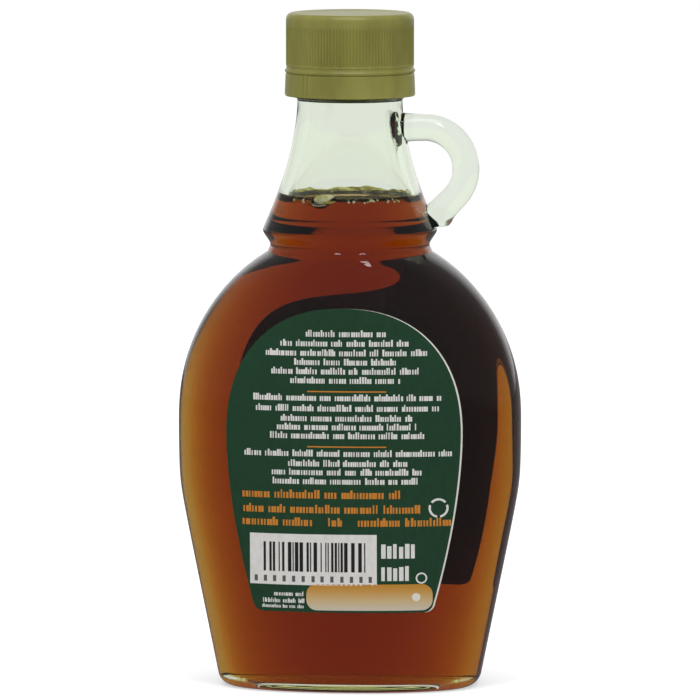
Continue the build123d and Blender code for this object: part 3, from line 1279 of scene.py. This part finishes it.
    def build(self) -> list[bpy.types.Object]:
        """Makes the syrup's body and its bubbles.

        Returns:
            The pieces made.
        """
        body = put_mesh("syrup_body", self.body())
        mark_touching(body)
        body.data.materials.append(SYRUP.material())
        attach(body, "root")
        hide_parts("maple_syrup")
        foam = put_mesh("syrup_bubbles", self.bubbles())
        foam.data.materials.append(SYRUP_FILM.material())
        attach(foam, "root")
        for piece in (body, foam):
            report(piece)
        return [body, foam, *self.extras()]


# --------------------------------------------------------------------------------------------------
# Cap
# --------------------------------------------------------------------------------------------------


@dataclass
class ScrewCap:
    """The ribbed cap and its tamper band, turned from profiles, with the ribs as waves round the skirt."""

    ribs: int = 120
    columns_per_rib: int = 8
    radius: float = 14.72
    rib_height: float = 0.3
    skirt_z: float = 141.8
    rib_low_z: float = 143.4
    rib_high_z: float = 152.7
    top_round: float = 1.5
    wall: float = 1.15
    ceiling: float = 1.4
    ledge_radius: float = 14.98
    band_low_z: float = 136.4
    band_top_z: float = 141.75
    band_top_radius: float = 14.82
    band_foot_radius: float = 15.02
    band_wall: float = 0.95
    bridges: int = 24
    slit_places: tuple[float, float] = (228.0, 233.0)
    slit_spread: float = 0.45
    slit_depth: float = 0.22
    top_z: float = field(init=False)

    def __post_init__(self) -> None:
        """Takes the cap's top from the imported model."""
        self.top_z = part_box("screw_cap")[1][2] / MM

    def cap_rings(self) -> Rows:
        """Rings of the cap from the middle of its ceiling, down inside, up outside, to the middle of its top.

        The ribs add half a raised cosine of the angle times the rib count, faded in and out at both ends.

        Returns:
            The rings' points as (ring, place, axis).
        """
        inner = self.radius - self.rib_height - self.wall
        roof = self.top_z - self.ceiling
        arc = np.linspace(0.0, np.pi / 2, 10)
        rim_radius = self.radius - self.top_round * (1 - np.cos(arc))
        rim_z = self.top_z - self.top_round * (1 - np.sin(arc)) - 0.1
        disc = np.linspace(0.92, 0.1, 10)
        flat_radius = disc * (self.radius - self.top_round)
        flat_z = self.top_z - 0.1 - 0.22 * np.clip((0.9 - disc) / 0.06, 0.0, 1.0)
        profile = [
            (0.3 * inner, roof), (inner - 0.6, roof), (inner, roof - 0.6), (inner, self.skirt_z + 0.5),
            (inner + 0.3, self.skirt_z + 0.05), (self.ledge_radius - 0.25, self.skirt_z),
            (self.ledge_radius, self.skirt_z + 0.2), (self.ledge_radius, self.skirt_z + 0.55),
            (self.ledge_radius - 0.3, self.skirt_z + 0.85), (self.radius - 0.12, self.rib_low_z - 0.12),
        ]
        low = self.rib_low_z + np.linspace(0.0, 0.7, 5)
        high = self.rib_high_z - np.linspace(0.9, 0.0, 6)
        middle = np.linspace(low[-1], high[0], 5)[1:-1]
        skirt = np.concatenate([low, middle, high])
        radius = np.concatenate([[r for r, _ in profile], skirt * 0 + self.radius, rim_radius, flat_radius])
        level = np.concatenate([[z for _, z in profile], skirt, rim_z, flat_z])
        fade = np.clip((level - self.rib_low_z) / 0.5, 0, 1) * np.clip((self.rib_high_z - level) / 0.8, 0, 1)
        fade = fade * (radius > self.radius - 0.05)
        turn = np.linspace(0, 2 * np.pi, self.ribs * self.columns_per_rib, endpoint=False)
        wave = np.cos(self.ribs * turn)
        spread = radius[:, None] + fade[:, None] * self.rib_height * (wave - 1) / 2
        return turned_rings(spread, level, turn)

    def band_rings(self) -> Rows:
        """Closed rings of the tamper band's section, with two narrow tear slits pressed into its face.

        Returns:
            The rings' points as (ring, place, axis).
        """
        hook = self.band_foot_radius - self.band_wall - 0.9
        section = [
            (self.band_foot_radius - self.band_wall, self.band_low_z + 0.9), (hook, self.band_low_z + 0.9),
            (hook, self.band_low_z), (self.band_foot_radius - 0.25, self.band_low_z),
            (self.band_foot_radius, self.band_low_z + 0.25),
        ]
        share = np.linspace(0.05, 0.95, 12)
        face = self.band_foot_radius + (self.band_top_radius - self.band_foot_radius) * share
        face_z = self.band_low_z + (self.band_top_z - self.band_low_z) * share
        top = [self.band_top_radius - 0.2, self.band_top_radius - self.band_wall]
        radius = np.concatenate([[r for r, _ in section], face, top])
        level = np.concatenate([[z for _, z in section], face_z, [self.band_top_z, self.band_top_z]])
        turn = np.linspace(0, 2 * np.pi, 720, endpoint=False)
        angle = np.degrees(turn)
        slits = sum(np.exp(-((angle - place) / self.slit_spread) ** 2) for place in self.slit_places)
        outer = (radius > self.band_top_radius - 0.1)[:, None]
        spread = radius[:, None] - outer * self.slit_depth * slits
        return turned_rings(spread, level, turn)

    def bridge_parts(self) -> list[MeshParts]:
        """The small bridges from band to skirt: short bent bars, each a three by three grid on two sheets.

        Returns:
            One slab for each bridge.
        """
        low, high = self.band_top_z - 0.1, self.skirt_z + 0.1
        parts = []
        for number in range(self.bridges):
            middle = 2 * np.pi * (number + 0.35) / self.bridges
            angle, level = np.meshgrid(middle + np.linspace(-0.024, 0.024, 3), np.linspace(low, high, 3))
            sheets = [
                np.stack([radius * np.cos(angle), radius * np.sin(angle), level], axis=-1)
                for radius in (self.band_top_radius - 0.75, self.band_top_radius - 0.12)
            ]
            parts.append(slab_surface(*sheets))
        return parts

    def build(self) -> bpy.types.Object:
        """Makes the cap, its band and bridges as one moulded piece.

        Returns:
            The finished piece.
        """
        rings = self.cap_rings()
        roof = np.array([0.0, 0.0, self.top_z - self.ceiling])
        top = np.array([0.0, 0.0, self.top_z - 0.32])
        cap = ring_surface(rings, roof, top)
        band_rings = self.band_rings()
        band = ring_surface(np.concatenate([band_rings, band_rings[:1]]), None, None)
        piece = put_mesh("ribbed_cap", MeshParts.joined([cap, band, *self.bridge_parts()]))
        merge_close(piece)
        keep_edges_crisp(piece, 38.0)
        piece.data.materials.append(CapPlastic().material())
        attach(piece, "root")
        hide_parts("screw_cap")
        report(piece)
        return piece


# --------------------------------------------------------------------------------------------------
# Labels
# --------------------------------------------------------------------------------------------------


class Side(Enum):
    """Which face of the jug a label is on."""

    BACK = -1
    FRONT = 1


@dataclass(frozen=True)
class Layers:
    """Heights over the glass of each layer of a label: its under side and its upper side, in millimetres."""

    paper: Layer = (0.03, 0.085)
    field: Layer = (0.08, 0.105)
    print: Layer = (0.1, 0.125)
    over: Layer = (0.12, 0.143)


LAYERS = Layers()
GRID_STEP = 1.2
BACK_GREEN = (linear(22, 66, 39), 0.1, 0.38)
FRONT_GREEN = (linear(24, 72, 44), 0.1, 0.38)


@dataclass
class LabelShape:
    """A label's outline laid flat: a superellipse arch over gently bowed sides. Millimetres."""

    half_width: float = 27.1
    wide_z: float = 60.0
    top_z: float = 89.1
    foot_z: float = 19.0
    foot_half_width: float = 20.3
    arch_power: float = 2.25
    side_power: float = 1.75
    corner: float = 1.6

    def half_at(self, z: Rows) -> Rows:
        """Half width at height z: the superellipse above the widest place, a power curve below it.

        Args:
            z: heights.

        Returns:
            The half width at each height.
        """
        up = np.clip((z - self.wide_z) / (self.top_z - self.wide_z), 0.0, 1.0)
        arch = self.half_width * (1 - up**self.arch_power) ** (1 / self.arch_power)
        down = np.clip((self.wide_z - z) / (self.wide_z - self.foot_z), 0.0, 1.0)
        bowed = self.half_width - (self.half_width - self.foot_half_width) * down**self.side_power
        over = np.clip(1 - (z - self.foot_z) / self.corner, 0.0, 1.0)
        cut = self.corner * (1 - np.sqrt(1 - over**2))
        return np.where(z > self.wide_z, arch, bowed) - cut


@dataclass
class LabelPress:
    """Lays flat shapes on the curved face of the jug as thin slabs, one layer above another."""

    form: JugForm
    shape: LabelShape
    side: Side
    offset: float = 0.0

    def lay(self, x: Rows, z: Rows, layer: Layer) -> MeshParts:
        """Bends a flat patch on to the glass and gives it thickness.

        Each point goes to the oval's depth at its x and then out along the oval's normal.

        Args:
            x: across the label, as (row, column), to the right as it is read.
            z: heights, as (row, column).
            layer: heights of the slab's two sides over the glass.

        Returns:
            The bent slab.
        """
        x = x + self.offset
        depth = self.form.front_depth(x, z)
        normal_x, normal_y = self.form.front_normal(x, z)
        sheets = []
        for lift in layer:
            out_x, out_y = x + lift * normal_x, depth + lift * normal_y
            turned = self.side.value
            sheets.append(np.stack([-turned * out_x, turned * out_y, z], axis=-1))
        return slab_surface(*sheets)

    def patch(self, left: float, right: float, low_z: float, high_z: float, layer: Layer) -> MeshParts:
        """A plain rectangle on the label.

        Args:
            left: left end.
            right: right end.
            low_z: height of the lower edge.
            high_z: height of the upper edge.
            layer: heights of the slab's two sides over the glass.

        Returns:
            The slab.
        """
        columns, rows = (2 + int(abs(span) / GRID_STEP) for span in (right - left, high_z - low_z))
        x, z = np.meshgrid(np.linspace(left, right, columns), np.linspace(low_z, high_z, rows))
        return self.lay(x, z, layer)

    def rounded(
        self, left: float, right: float, low_z: float, high_z: float, corner: float, layer: Layer
    ) -> MeshParts:
        """A rectangle with round corners: each row is drawn in by a quarter circle near its two ends.

        Args:
            left: left end.
            right: right end.
            low_z: height of the lower edge.
            high_z: height of the upper edge.
            corner: the corners' radius.
            layer: heights of the slab's two sides over the glass.

        Returns:
            The slab.
        """
        arc = corner * (1 - np.cos(np.linspace(0, np.pi / 2, 7)))
        middle_z = runs((low_z + corner, high_z - corner, GRID_STEP))[1:-1]
        z = np.concatenate([low_z + arc, middle_z, high_z - arc[::-1]])
        near = np.minimum(z - low_z, high_z - z) / corner
        cut = corner * (1 - np.sqrt(1 - np.clip(1 - near, 0, 1) ** 2))
        share = np.linspace(-1, 1, 26)[None, :]
        middle, half = (left + right) / 2, (right - left) / 2
        x = middle + (half - cut)[:, None] * share
        return self.lay(x, np.broadcast_to(z[:, None], x.shape), layer)

    def ring(
        self, place: Place, inner: float, outer: float, layer: Layer, start: float = 0.0, end: float = 360.0
    ) -> MeshParts:
        """An arc of a flat ring.

        Args:
            place: its middle on the label.
            inner: inner radius.
            outer: outer radius.
            layer: heights of the slab's two sides over the glass.
            start: angle where the arc starts, in degrees.
            end: angle where it ends.

        Returns:
            The slab.
        """
        angle = np.radians(np.linspace(start, end, 40))[:, None]
        radius = np.array([[inner, outer]])
        return self.lay(place[0] + radius * np.cos(angle), place[1] + radius * np.sin(angle), layer)

    def sheet(self, right_gap: float, layer: Layer) -> MeshParts:
        """The label's whole outline, drawn in by a gap at its right.

        Args:
            right_gap: width left bare along the right edge.
            layer: heights of the slab's two sides over the glass.

        Returns:
            The slab.
        """
        rise = np.sin(np.linspace(0, np.pi / 2, 26))
        foot, wide, top = self.shape.foot_z, self.shape.wide_z, self.shape.top_z
        below = runs((foot, foot + self.shape.corner, 0.16), (foot + self.shape.corner, wide, GRID_STEP))[:-1]
        z = np.concatenate([below, wide + (top - wide - 0.002) * rise])
        half = np.maximum(self.shape.half_at(np.clip(z, foot + 0.001, top - 0.001)), 0.05)
        share = np.linspace(-1, 1, 60)[None, :]
        left, right = -half, half - right_gap
        x = left[:, None] + (right - left)[:, None] * (share + 1) / 2
        return self.lay(x, np.broadcast_to(z[:, None], x.shape), layer)


@dataclass(frozen=True)
class Line:
    """One line of word-like marks: where it stands and how tall its marks are. Millimetres."""

    z: float
    left: float
    right: float
    height: float = 1.0


@dataclass
class Label:
    """A printed paper label: its sheet, its colour field and its marks.

    Attributes:
        form: the jug that it is stuck on.
        side: the face of the jug that it is on.
        shape: its outline.
        offset: how far its middle is off the jug's, to the right as it is read, in millimetres.
        stroke: a word-like mark's stroke as a share of its line's height.
        gap: the gap between two strokes, as such a share.
        space: the space between two words, as such a share.
        tall: a tall stroke's height, as such a share.
        tall_chance: how often a stroke is tall.
    """

    form: JugForm
    side: Side
    shape: LabelShape = field(default_factory=LabelShape)
    offset: float = 0.0
    stroke: float = 0.3
    gap: float = 0.17
    space: float = 0.7
    tall: float = 1.4
    tall_chance: float = 0.2

    def __post_init__(self) -> None:
        """Sets up the press that lays the layers on the glass."""
        self.press = LabelPress(self.form, self.shape, self.side, self.offset)
        self.name = self.side.name.lower()

    def words(self, line: Line, rng: np.random.Generator, layer: Layer) -> list[MeshParts]:
        """A line of word-like marks: groups of fine upright strokes, some of them taller, spaces between.

        Args:
            line: the line's place and size.
            rng: seeded source of the words' lengths and strokes.
            layer: heights of the strokes' two sides over the glass.

        Returns:
            One slab for each stroke.
        """
        parts = []
        stroke, gap, space = (share * line.height for share in (self.stroke, self.gap, self.space))
        x = line.left
        while x < line.right - stroke:
            for _ in range(int(rng.integers(4, 17))):
                if x > line.right - stroke:
                    break
                tall = line.height * (self.tall if rng.random() < self.tall_chance else 1.0)
                end = x + stroke * rng.uniform(0.8, 1.5)
                parts.append(self.press.patch(x, end, line.z, line.z + tall, layer))
                x += stroke + gap * rng.uniform(0.8, 1.6)
            x += space
        return parts

    def put(self, name: str, parts: list[MeshParts], finish: bpy.types.Material) -> bpy.types.Object:
        """Makes one piece of the label from slabs and dresses it.

        Args:
            name: the layer's name.
            parts: its slabs.
            finish: its material.

        Returns:
            The new piece.
        """
        piece = put_mesh(f"{self.name}_label_{name}", MeshParts.joined(parts), smooth=True)
        keep_edges_crisp(piece, 40.0)
        piece.data.materials.append(finish)
        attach(piece, "root")
        report(piece)
        return piece

    def rows_of_words(self, lines: tuple[Line, ...], seed: int, layer: Layer) -> list[MeshParts]:
        """Several lines of word-like marks from one seed."""
        rng = np.random.default_rng(seed)
        return [stroke for line in lines for stroke in self.words(line, rng, layer)]

    def build_sheet(self, paper: PrintedPaper, field_ink: PrintedPaper, right_gap: float) -> None:
        """Makes the white sheet and the colour field on it.

        Args:
            paper: finish of the sheet.
            field_ink: finish of the field.
            right_gap: width of the bare paper left along the right edge.
        """
        sheet = self.put("sheet", [self.press.sheet(0.0, LAYERS.paper)], paper.material())
        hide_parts(f"{self.name}_label")
        self.put("field", [self.press.sheet(right_gap, LAYERS.field)], field_ink.material())


@dataclass
class BackLabel(Label):
    """The back label: a deep green field with white and orange lines, a panel of bars and a fading box."""

    side: Side = Side.BACK
    white_lines: tuple[Line, ...] = (
        Line(82.6, -8.5, 9.8, 1.1), Line(80.4, -14.4, 15.9, 1.1), Line(78.2, -17.8, 19.4, 1.1),
        Line(76.1, -11.2, 12.6, 1.1), Line(74.0, -16.5, 17.8, 1.1), Line(71.9, -12.1, 13.5, 1.1),
        Line(67.9, -20.7, 22.8, 1.1), Line(65.5, -20.1, 21.8, 1.1), Line(63.2, -14.3, 16.1, 1.1),
        Line(61.2, -15.2, 17.0, 1.1), Line(59.2, -16.8, 18.9, 1.1),
        Line(55.1, -22.8, 24.9, 1.1), Line(52.8, -12.6, 14.8, 1.1), Line(50.8, -16.4, 18.4, 1.1),
        Line(48.7, -16.2, 17.5, 1.1),
        Line(22.7, -16.0, -8.9, 0.75), Line(21.1, -18.6, -8.9, 0.75), Line(19.9, -18.8, -8.9, 0.6),
    )
    orange_lines: tuple[Line, ...] = (
        Line(45.4, -23.3, 13.4, 1.4), Line(42.0, -23.1, 18.4, 1.4), Line(39.0, -23.3, -6.0, 1.4),
        Line(39.0, -3.4, 0.2, 1.4), Line(39.0, 3.4, 24.6, 1.4),
    )

    def bars(self) -> list[MeshParts]:
        """The panel's upright bars: seeded widths of one to three units with gaps between them.

        Returns:
            One slab for each bar.
        """
        rng = np.random.default_rng(31)
        parts, x, unit = [], -18.4, 0.27
        while x < 4.9:
            width = unit * int(rng.integers(1, 4))
            parts.append(self.press.patch(x, min(x + width, 5.2), 28.4, 35.2, LAYERS.over))
            x += width + unit * int(rng.integers(1, 4))
        return parts

    def under_bars(self) -> list[MeshParts]:
        """A row of small grey blocks under the bars, each set off its place by a seeded bit."""
        places = np.linspace(-20.6, 5.9, 13) + np.random.default_rng(77).uniform(-0.1, 0.1, 13)
        return [self.press.patch(x, x + 0.75, 26.0, 27.4, LAYERS.over) for x in places]

    def white_parts(self) -> list[MeshParts]:
        """The white print: rows of strokes, a broken ring, the bars' panel, a small ring and rows of blocks.

        Returns:
            The slabs.
        """
        layer, press = LAYERS.print, self.press
        parts = self.rows_of_words(self.white_lines, 5, layer)
        for turn in (0, 120, 240):
            parts.append(press.ring((21.7, 43.2), 1.75, 2.25, layer, 40 + turn, 140 + turn))
        parts += [press.patch(-21.6, 7.7, 25.3, 37.1, layer), press.ring((17.8, 27.0), 0.95, 1.3, layer)]
        rng = np.random.default_rng(13)
        for start, end, z, tall in ((8.7, 16.6, 31.6, 3.4), (8.7, 15.2, 26.4, 3.6)):
            for x in np.arange(start, end, 1.35):
                right = x + rng.uniform(0.8, 1.05)
                parts.append(press.patch(x, right, z, z + tall * rng.uniform(0.8, 1.0), layer))
        return parts

    def build(self) -> None:
        """Makes the back label's layers, from the paper up."""
        paper = PrintedPaper("white_paper", linear(226, 222, 214))
        self.build_sheet(paper, PrintedPaper("green_ink", *BACK_GREEN), 0.4)
        layer, press = LAYERS.print, self.press
        white = PrintedPaper("white_print", linear(226, 224, 220))
        self.put("white_print", self.white_parts(), white.material())
        parts = self.rows_of_words(self.orange_lines, 9, layer)
        parts += [press.patch(-8.2, 9.9, z, z + 0.28, layer) for z in (69.9, 57.2)]
        self.put("orange_print", parts, PrintedPaper("orange_print", linear(205, 128, 34)).material())
        self.put("bars", self.bars(), PrintedPaper("black_print", linear(30, 28, 30)).material())
        self.put("digits", self.under_bars(), PrintedPaper("grey_print", linear(92, 92, 92)).material())
        fade = ((0.0, (205, 196, 178)), (0.35, (207, 180, 132)), (0.7, (202, 152, 74)), (1.0, (194, 133, 26)))
        box = GradedInk("fading_box", 19.6, 25.6, tuple((share, linear(*colour)) for share, colour in fade))
        self.put("box", [press.rounded(-8.5, 20.3, 19.5, 25.6, 2.4, layer)], box.material())
        dot = PrintedPaper("dot_print", linear(232, 226, 214))
        self.put("dot", [press.ring((16.6, 22.6), 0.02, 0.95, LAYERS.over)], dot.material())


@dataclass
class FrontLabel(Label):
    """The front label: a green field with a gold line, a cream band and a few plain blocks."""

    side: Side = Side.FRONT
    shape: LabelShape = field(default_factory=lambda: LabelShape(half_width=26.1, foot_z=23.0))
    offset: float = -1.8

    def build(self) -> None:
        """Makes the front label's layers."""
        paper = PrintedPaper("cream_paper", linear(228, 220, 198))
        self.build_sheet(paper, PrintedPaper("front_green_ink", *FRONT_GREEN), 0.0)
        gold = PrintedPaper("gold_print", linear(196, 152, 72), 0.08, 0.3)
        cream = PrintedPaper("cream_print", linear(232, 222, 196))
        dark = PrintedPaper("dark_print", linear(34, 60, 40))
        layer, press = LAYERS.print, self.press
        parts = [press.patch(-21.5, 21.5, z, z + 0.5, layer) for z in (63.6, 44.2)]
        parts += [press.ring((0.0, 73.5), 4.6, 5.1, layer)]
        self.put("gold_print", parts, gold.material())
        self.put("cream_print", [press.rounded(-22.5, 22.5, 45.6, 62.6, 1.5, layer)], cream.material())
        lines = (Line(54.5, -17.0, 17.0, 3.2), Line(48.6, -12.5, 12.5, 2.0))
        self.put("dark_print", self.rows_of_words(lines, 21, LAYERS.over), dark.material())
        lines = (Line(38.0, -15.0, 15.0, 1.4), Line(34.6, -12.0, 12.0, 1.4), Line(27.0, -9.0, 9.0, 1.2))
        self.put("foot_print", self.rows_of_words(lines, 22, layer), gold.material())


# --------------------------------------------------------------------------------------------------
# Studio
# --------------------------------------------------------------------------------------------------


@dataclass
class Studio:
    """White floor and surround, soft lamps at both sides and above, and the camera."""

    distance: float = 1.75
    height: float = 0.258
    azimuth: float = 4.5
    aim_z: float = 0.0775
    lens: float = 392.0
    floor_half: float = 3.0
    floor_glow: float = 0.5
    floor_mirrored: float = 0.2
    floor_through: float = 0.88
    floor_colour: Colour = (0.8, 0.8, 0.8)
    seen_through: Colour = (0.91, 0.925, 0.88)
    seen_through_overhead: Colour = (0.3, 0.3, 0.3)
    mirrored: float = 0.28
    mirrored_backdrop: float = 0.95
    ambient: float = 0.6

    def floor(self) -> None:
        """A large floor, white to the camera and pale through glass, that still takes the jug's shadow."""
        half = self.floor_half
        corners = np.array([[-half, -half, 0], [half, -half, 0], [half, half, 0], [-half, half, 0]]) / MM
        plate = MeshParts(corners, [np.array([[0, 1, 2, 3]])], [np.zeros(1, dtype=int)])
        floor = put_mesh("studio_floor", plate, False)
        tree = Tree("studio_floor_white")
        lit = tree.add("ShaderNodeBsdfDiffuse")
        lit.inputs["Color"].default_value = (*self.floor_colour, 1.0)
        glow = tree.add("ShaderNodeEmission", Strength=self.floor_glow)
        both = tree.add("ShaderNodeAddShader")
        tree.join(lit.outputs[0], both.inputs[0])
        tree.join(glow.outputs[0], both.inputs[1])
        mirrored = tree.add("ShaderNodeEmission", Strength=self.floor_mirrored)
        ray = tree.add("ShaderNodeLightPath")
        seen = self.blend(tree, lit, both, ray.outputs["Is Camera Ray"])
        seen = self.blend(tree, seen, mirrored, ray.outputs["Is Glossy Ray"])
        through = tree.add("ShaderNodeEmission", Strength=self.floor_through)
        seen = self.blend(tree, seen, through, ray.outputs["Is Transmission Ray"])
        tree.surface(seen)
        floor.data.materials.append(tree.material)

    @staticmethod
    def blend(
        tree: Tree, low: bpy.types.Node, high: bpy.types.Node, share: bpy.types.NodeSocket
    ) -> bpy.types.Node:
        """Mixes two shaders by a share.

        Args:
            tree: the tree that the mix joins.
            low: the shader at share nothing.
            high: the shader at share one.
            share: socket of the share.

        Returns:
            The mixed shader.
        """
        mix = tree.add("ShaderNodeMixShader")
        tree.join(share, mix.inputs[0])
        tree.join(low.outputs[0], mix.inputs[1])
        tree.join(high.outputs[0], mix.inputs[2])
        return mix

    def world(self) -> None:
        """The surround: white to the camera, pale through glass, dim in reflections but for the backdrop."""
        world = bpy.data.worlds.new("studio_world")
        bpy.context.scene.world = world
        world.use_nodes = True
        tree = Tree.of(world.node_tree)
        output = tree.add("ShaderNodeOutputWorld")
        place = tree.add("ShaderNodeTexCoord")
        parts = tree.add("ShaderNodeSeparateXYZ")
        tree.join(place.outputs["Generated"], parts.inputs[0])
        stops = [(0.0, self.seen_through), (0.5, self.seen_through), (0.85, self.seen_through_overhead)]
        through = tree.ramp(parts.outputs["Z"], stops)
        dim, bright = (self.mirrored,) * 3, (self.mirrored_backdrop,) * 3
        mirrored = tree.ramp(parts.outputs["Y"], [(0.0, dim), (0.72, dim), (0.9, bright)])
        ray = tree.add("ShaderNodeLightPath")
        powers = (self.ambient, 1.0, 1.0, 1.0)
        plain, white, glass, mirror = (tree.add("ShaderNodeBackground", Strength=power) for power in powers)
        tree.join(through, glass.inputs["Color"])
        tree.join(mirrored, mirror.inputs["Color"])
        for shader in (plain, white):
            shader.inputs["Color"].default_value = (1.0, 1.0, 1.0, 1.0)
        seen = self.blend(tree, plain, mirror, ray.outputs["Is Glossy Ray"])
        seen = self.blend(tree, seen, glass, ray.outputs["Is Transmission Ray"])
        seen = self.blend(tree, seen, white, ray.outputs["Is Camera Ray"])
        tree.join(seen.outputs[0], output.inputs["Surface"])

    def lamp(
        self, name: str, azimuth: float, reach: float, height: float, size: tuple[float, float], power: float
    ) -> None:
        """A soft rectangular lamp that faces the jug.

        Args:
            name: the lamp's name.
            azimuth: its bearing from the jug, in degrees from -Y towards +X.
            reach: how far off it stands along the floor.
            height: how high it hangs.
            size: its width and height.
            power: its power in watts.
        """
        light = bpy.data.lights.new(name, "AREA")
        light.shape = "RECTANGLE"
        light.size, light.size_y = size
        light.energy = power
        made = bpy.data.objects.new(name, light)
        turn = math.radians(azimuth)
        made.location = (math.sin(turn) * reach, -math.cos(turn) * reach, height)
        made.rotation_euler = (Vector((0, 0, self.aim_z)) - made.location).to_track_quat("-Z", "Y").to_euler()
        bpy.context.scene.collection.objects.link(made)

    def camera(self) -> None:
        """A long lens at about the height of a raised hand, turned a little to the handle's side."""
        data = bpy.data.cameras.new("studio_camera")
        data.lens = self.lens
        data.clip_end = 50
        made = bpy.data.objects.new("studio_camera", data)
        turn = math.radians(self.azimuth)
        place = Vector((math.sin(turn) * self.distance, -math.cos(turn) * self.distance, self.height))
        made.location = place
        made.rotation_euler = (Vector((0, 0, self.aim_z)) - place).to_track_quat("-Z", "Y").to_euler()
        bpy.context.scene.collection.objects.link(made)
        bpy.context.scene.camera = made

    def build(self) -> None:
        """Sets up the camera, floor, surround and lamps."""
        self.camera()
        self.floor()
        self.world()
        for name, azimuth in (("left_softbox", -18.5), ("right_softbox", 27.5)):
            self.lamp(name, azimuth, 1.15, 1.85, (0.3, 0.5), 4.0)
        self.lamp("overhead", 0.0, 0.3, 1.5, (1.0, 0.8), 5.0)
        bpy.context.scene.view_settings.view_transform = "Standard"


def main() -> None:
    """Builds the studio and the jug's pieces."""
    logging.basicConfig(level=logging.INFO, format="%(name)s: %(message)s")
    form = JugForm()
    Studio().build()
    GlassJug(form, CONTACT_Z).build()
    Syrup(form, CONTACT_Z, SYRUP_LEVEL).build()
    ScrewCap().build()
    BackLabel(form).build()
    FrontLabel(form).build()
    bpy.context.view_layer.update()


if __name__ == "__main__":
    main()
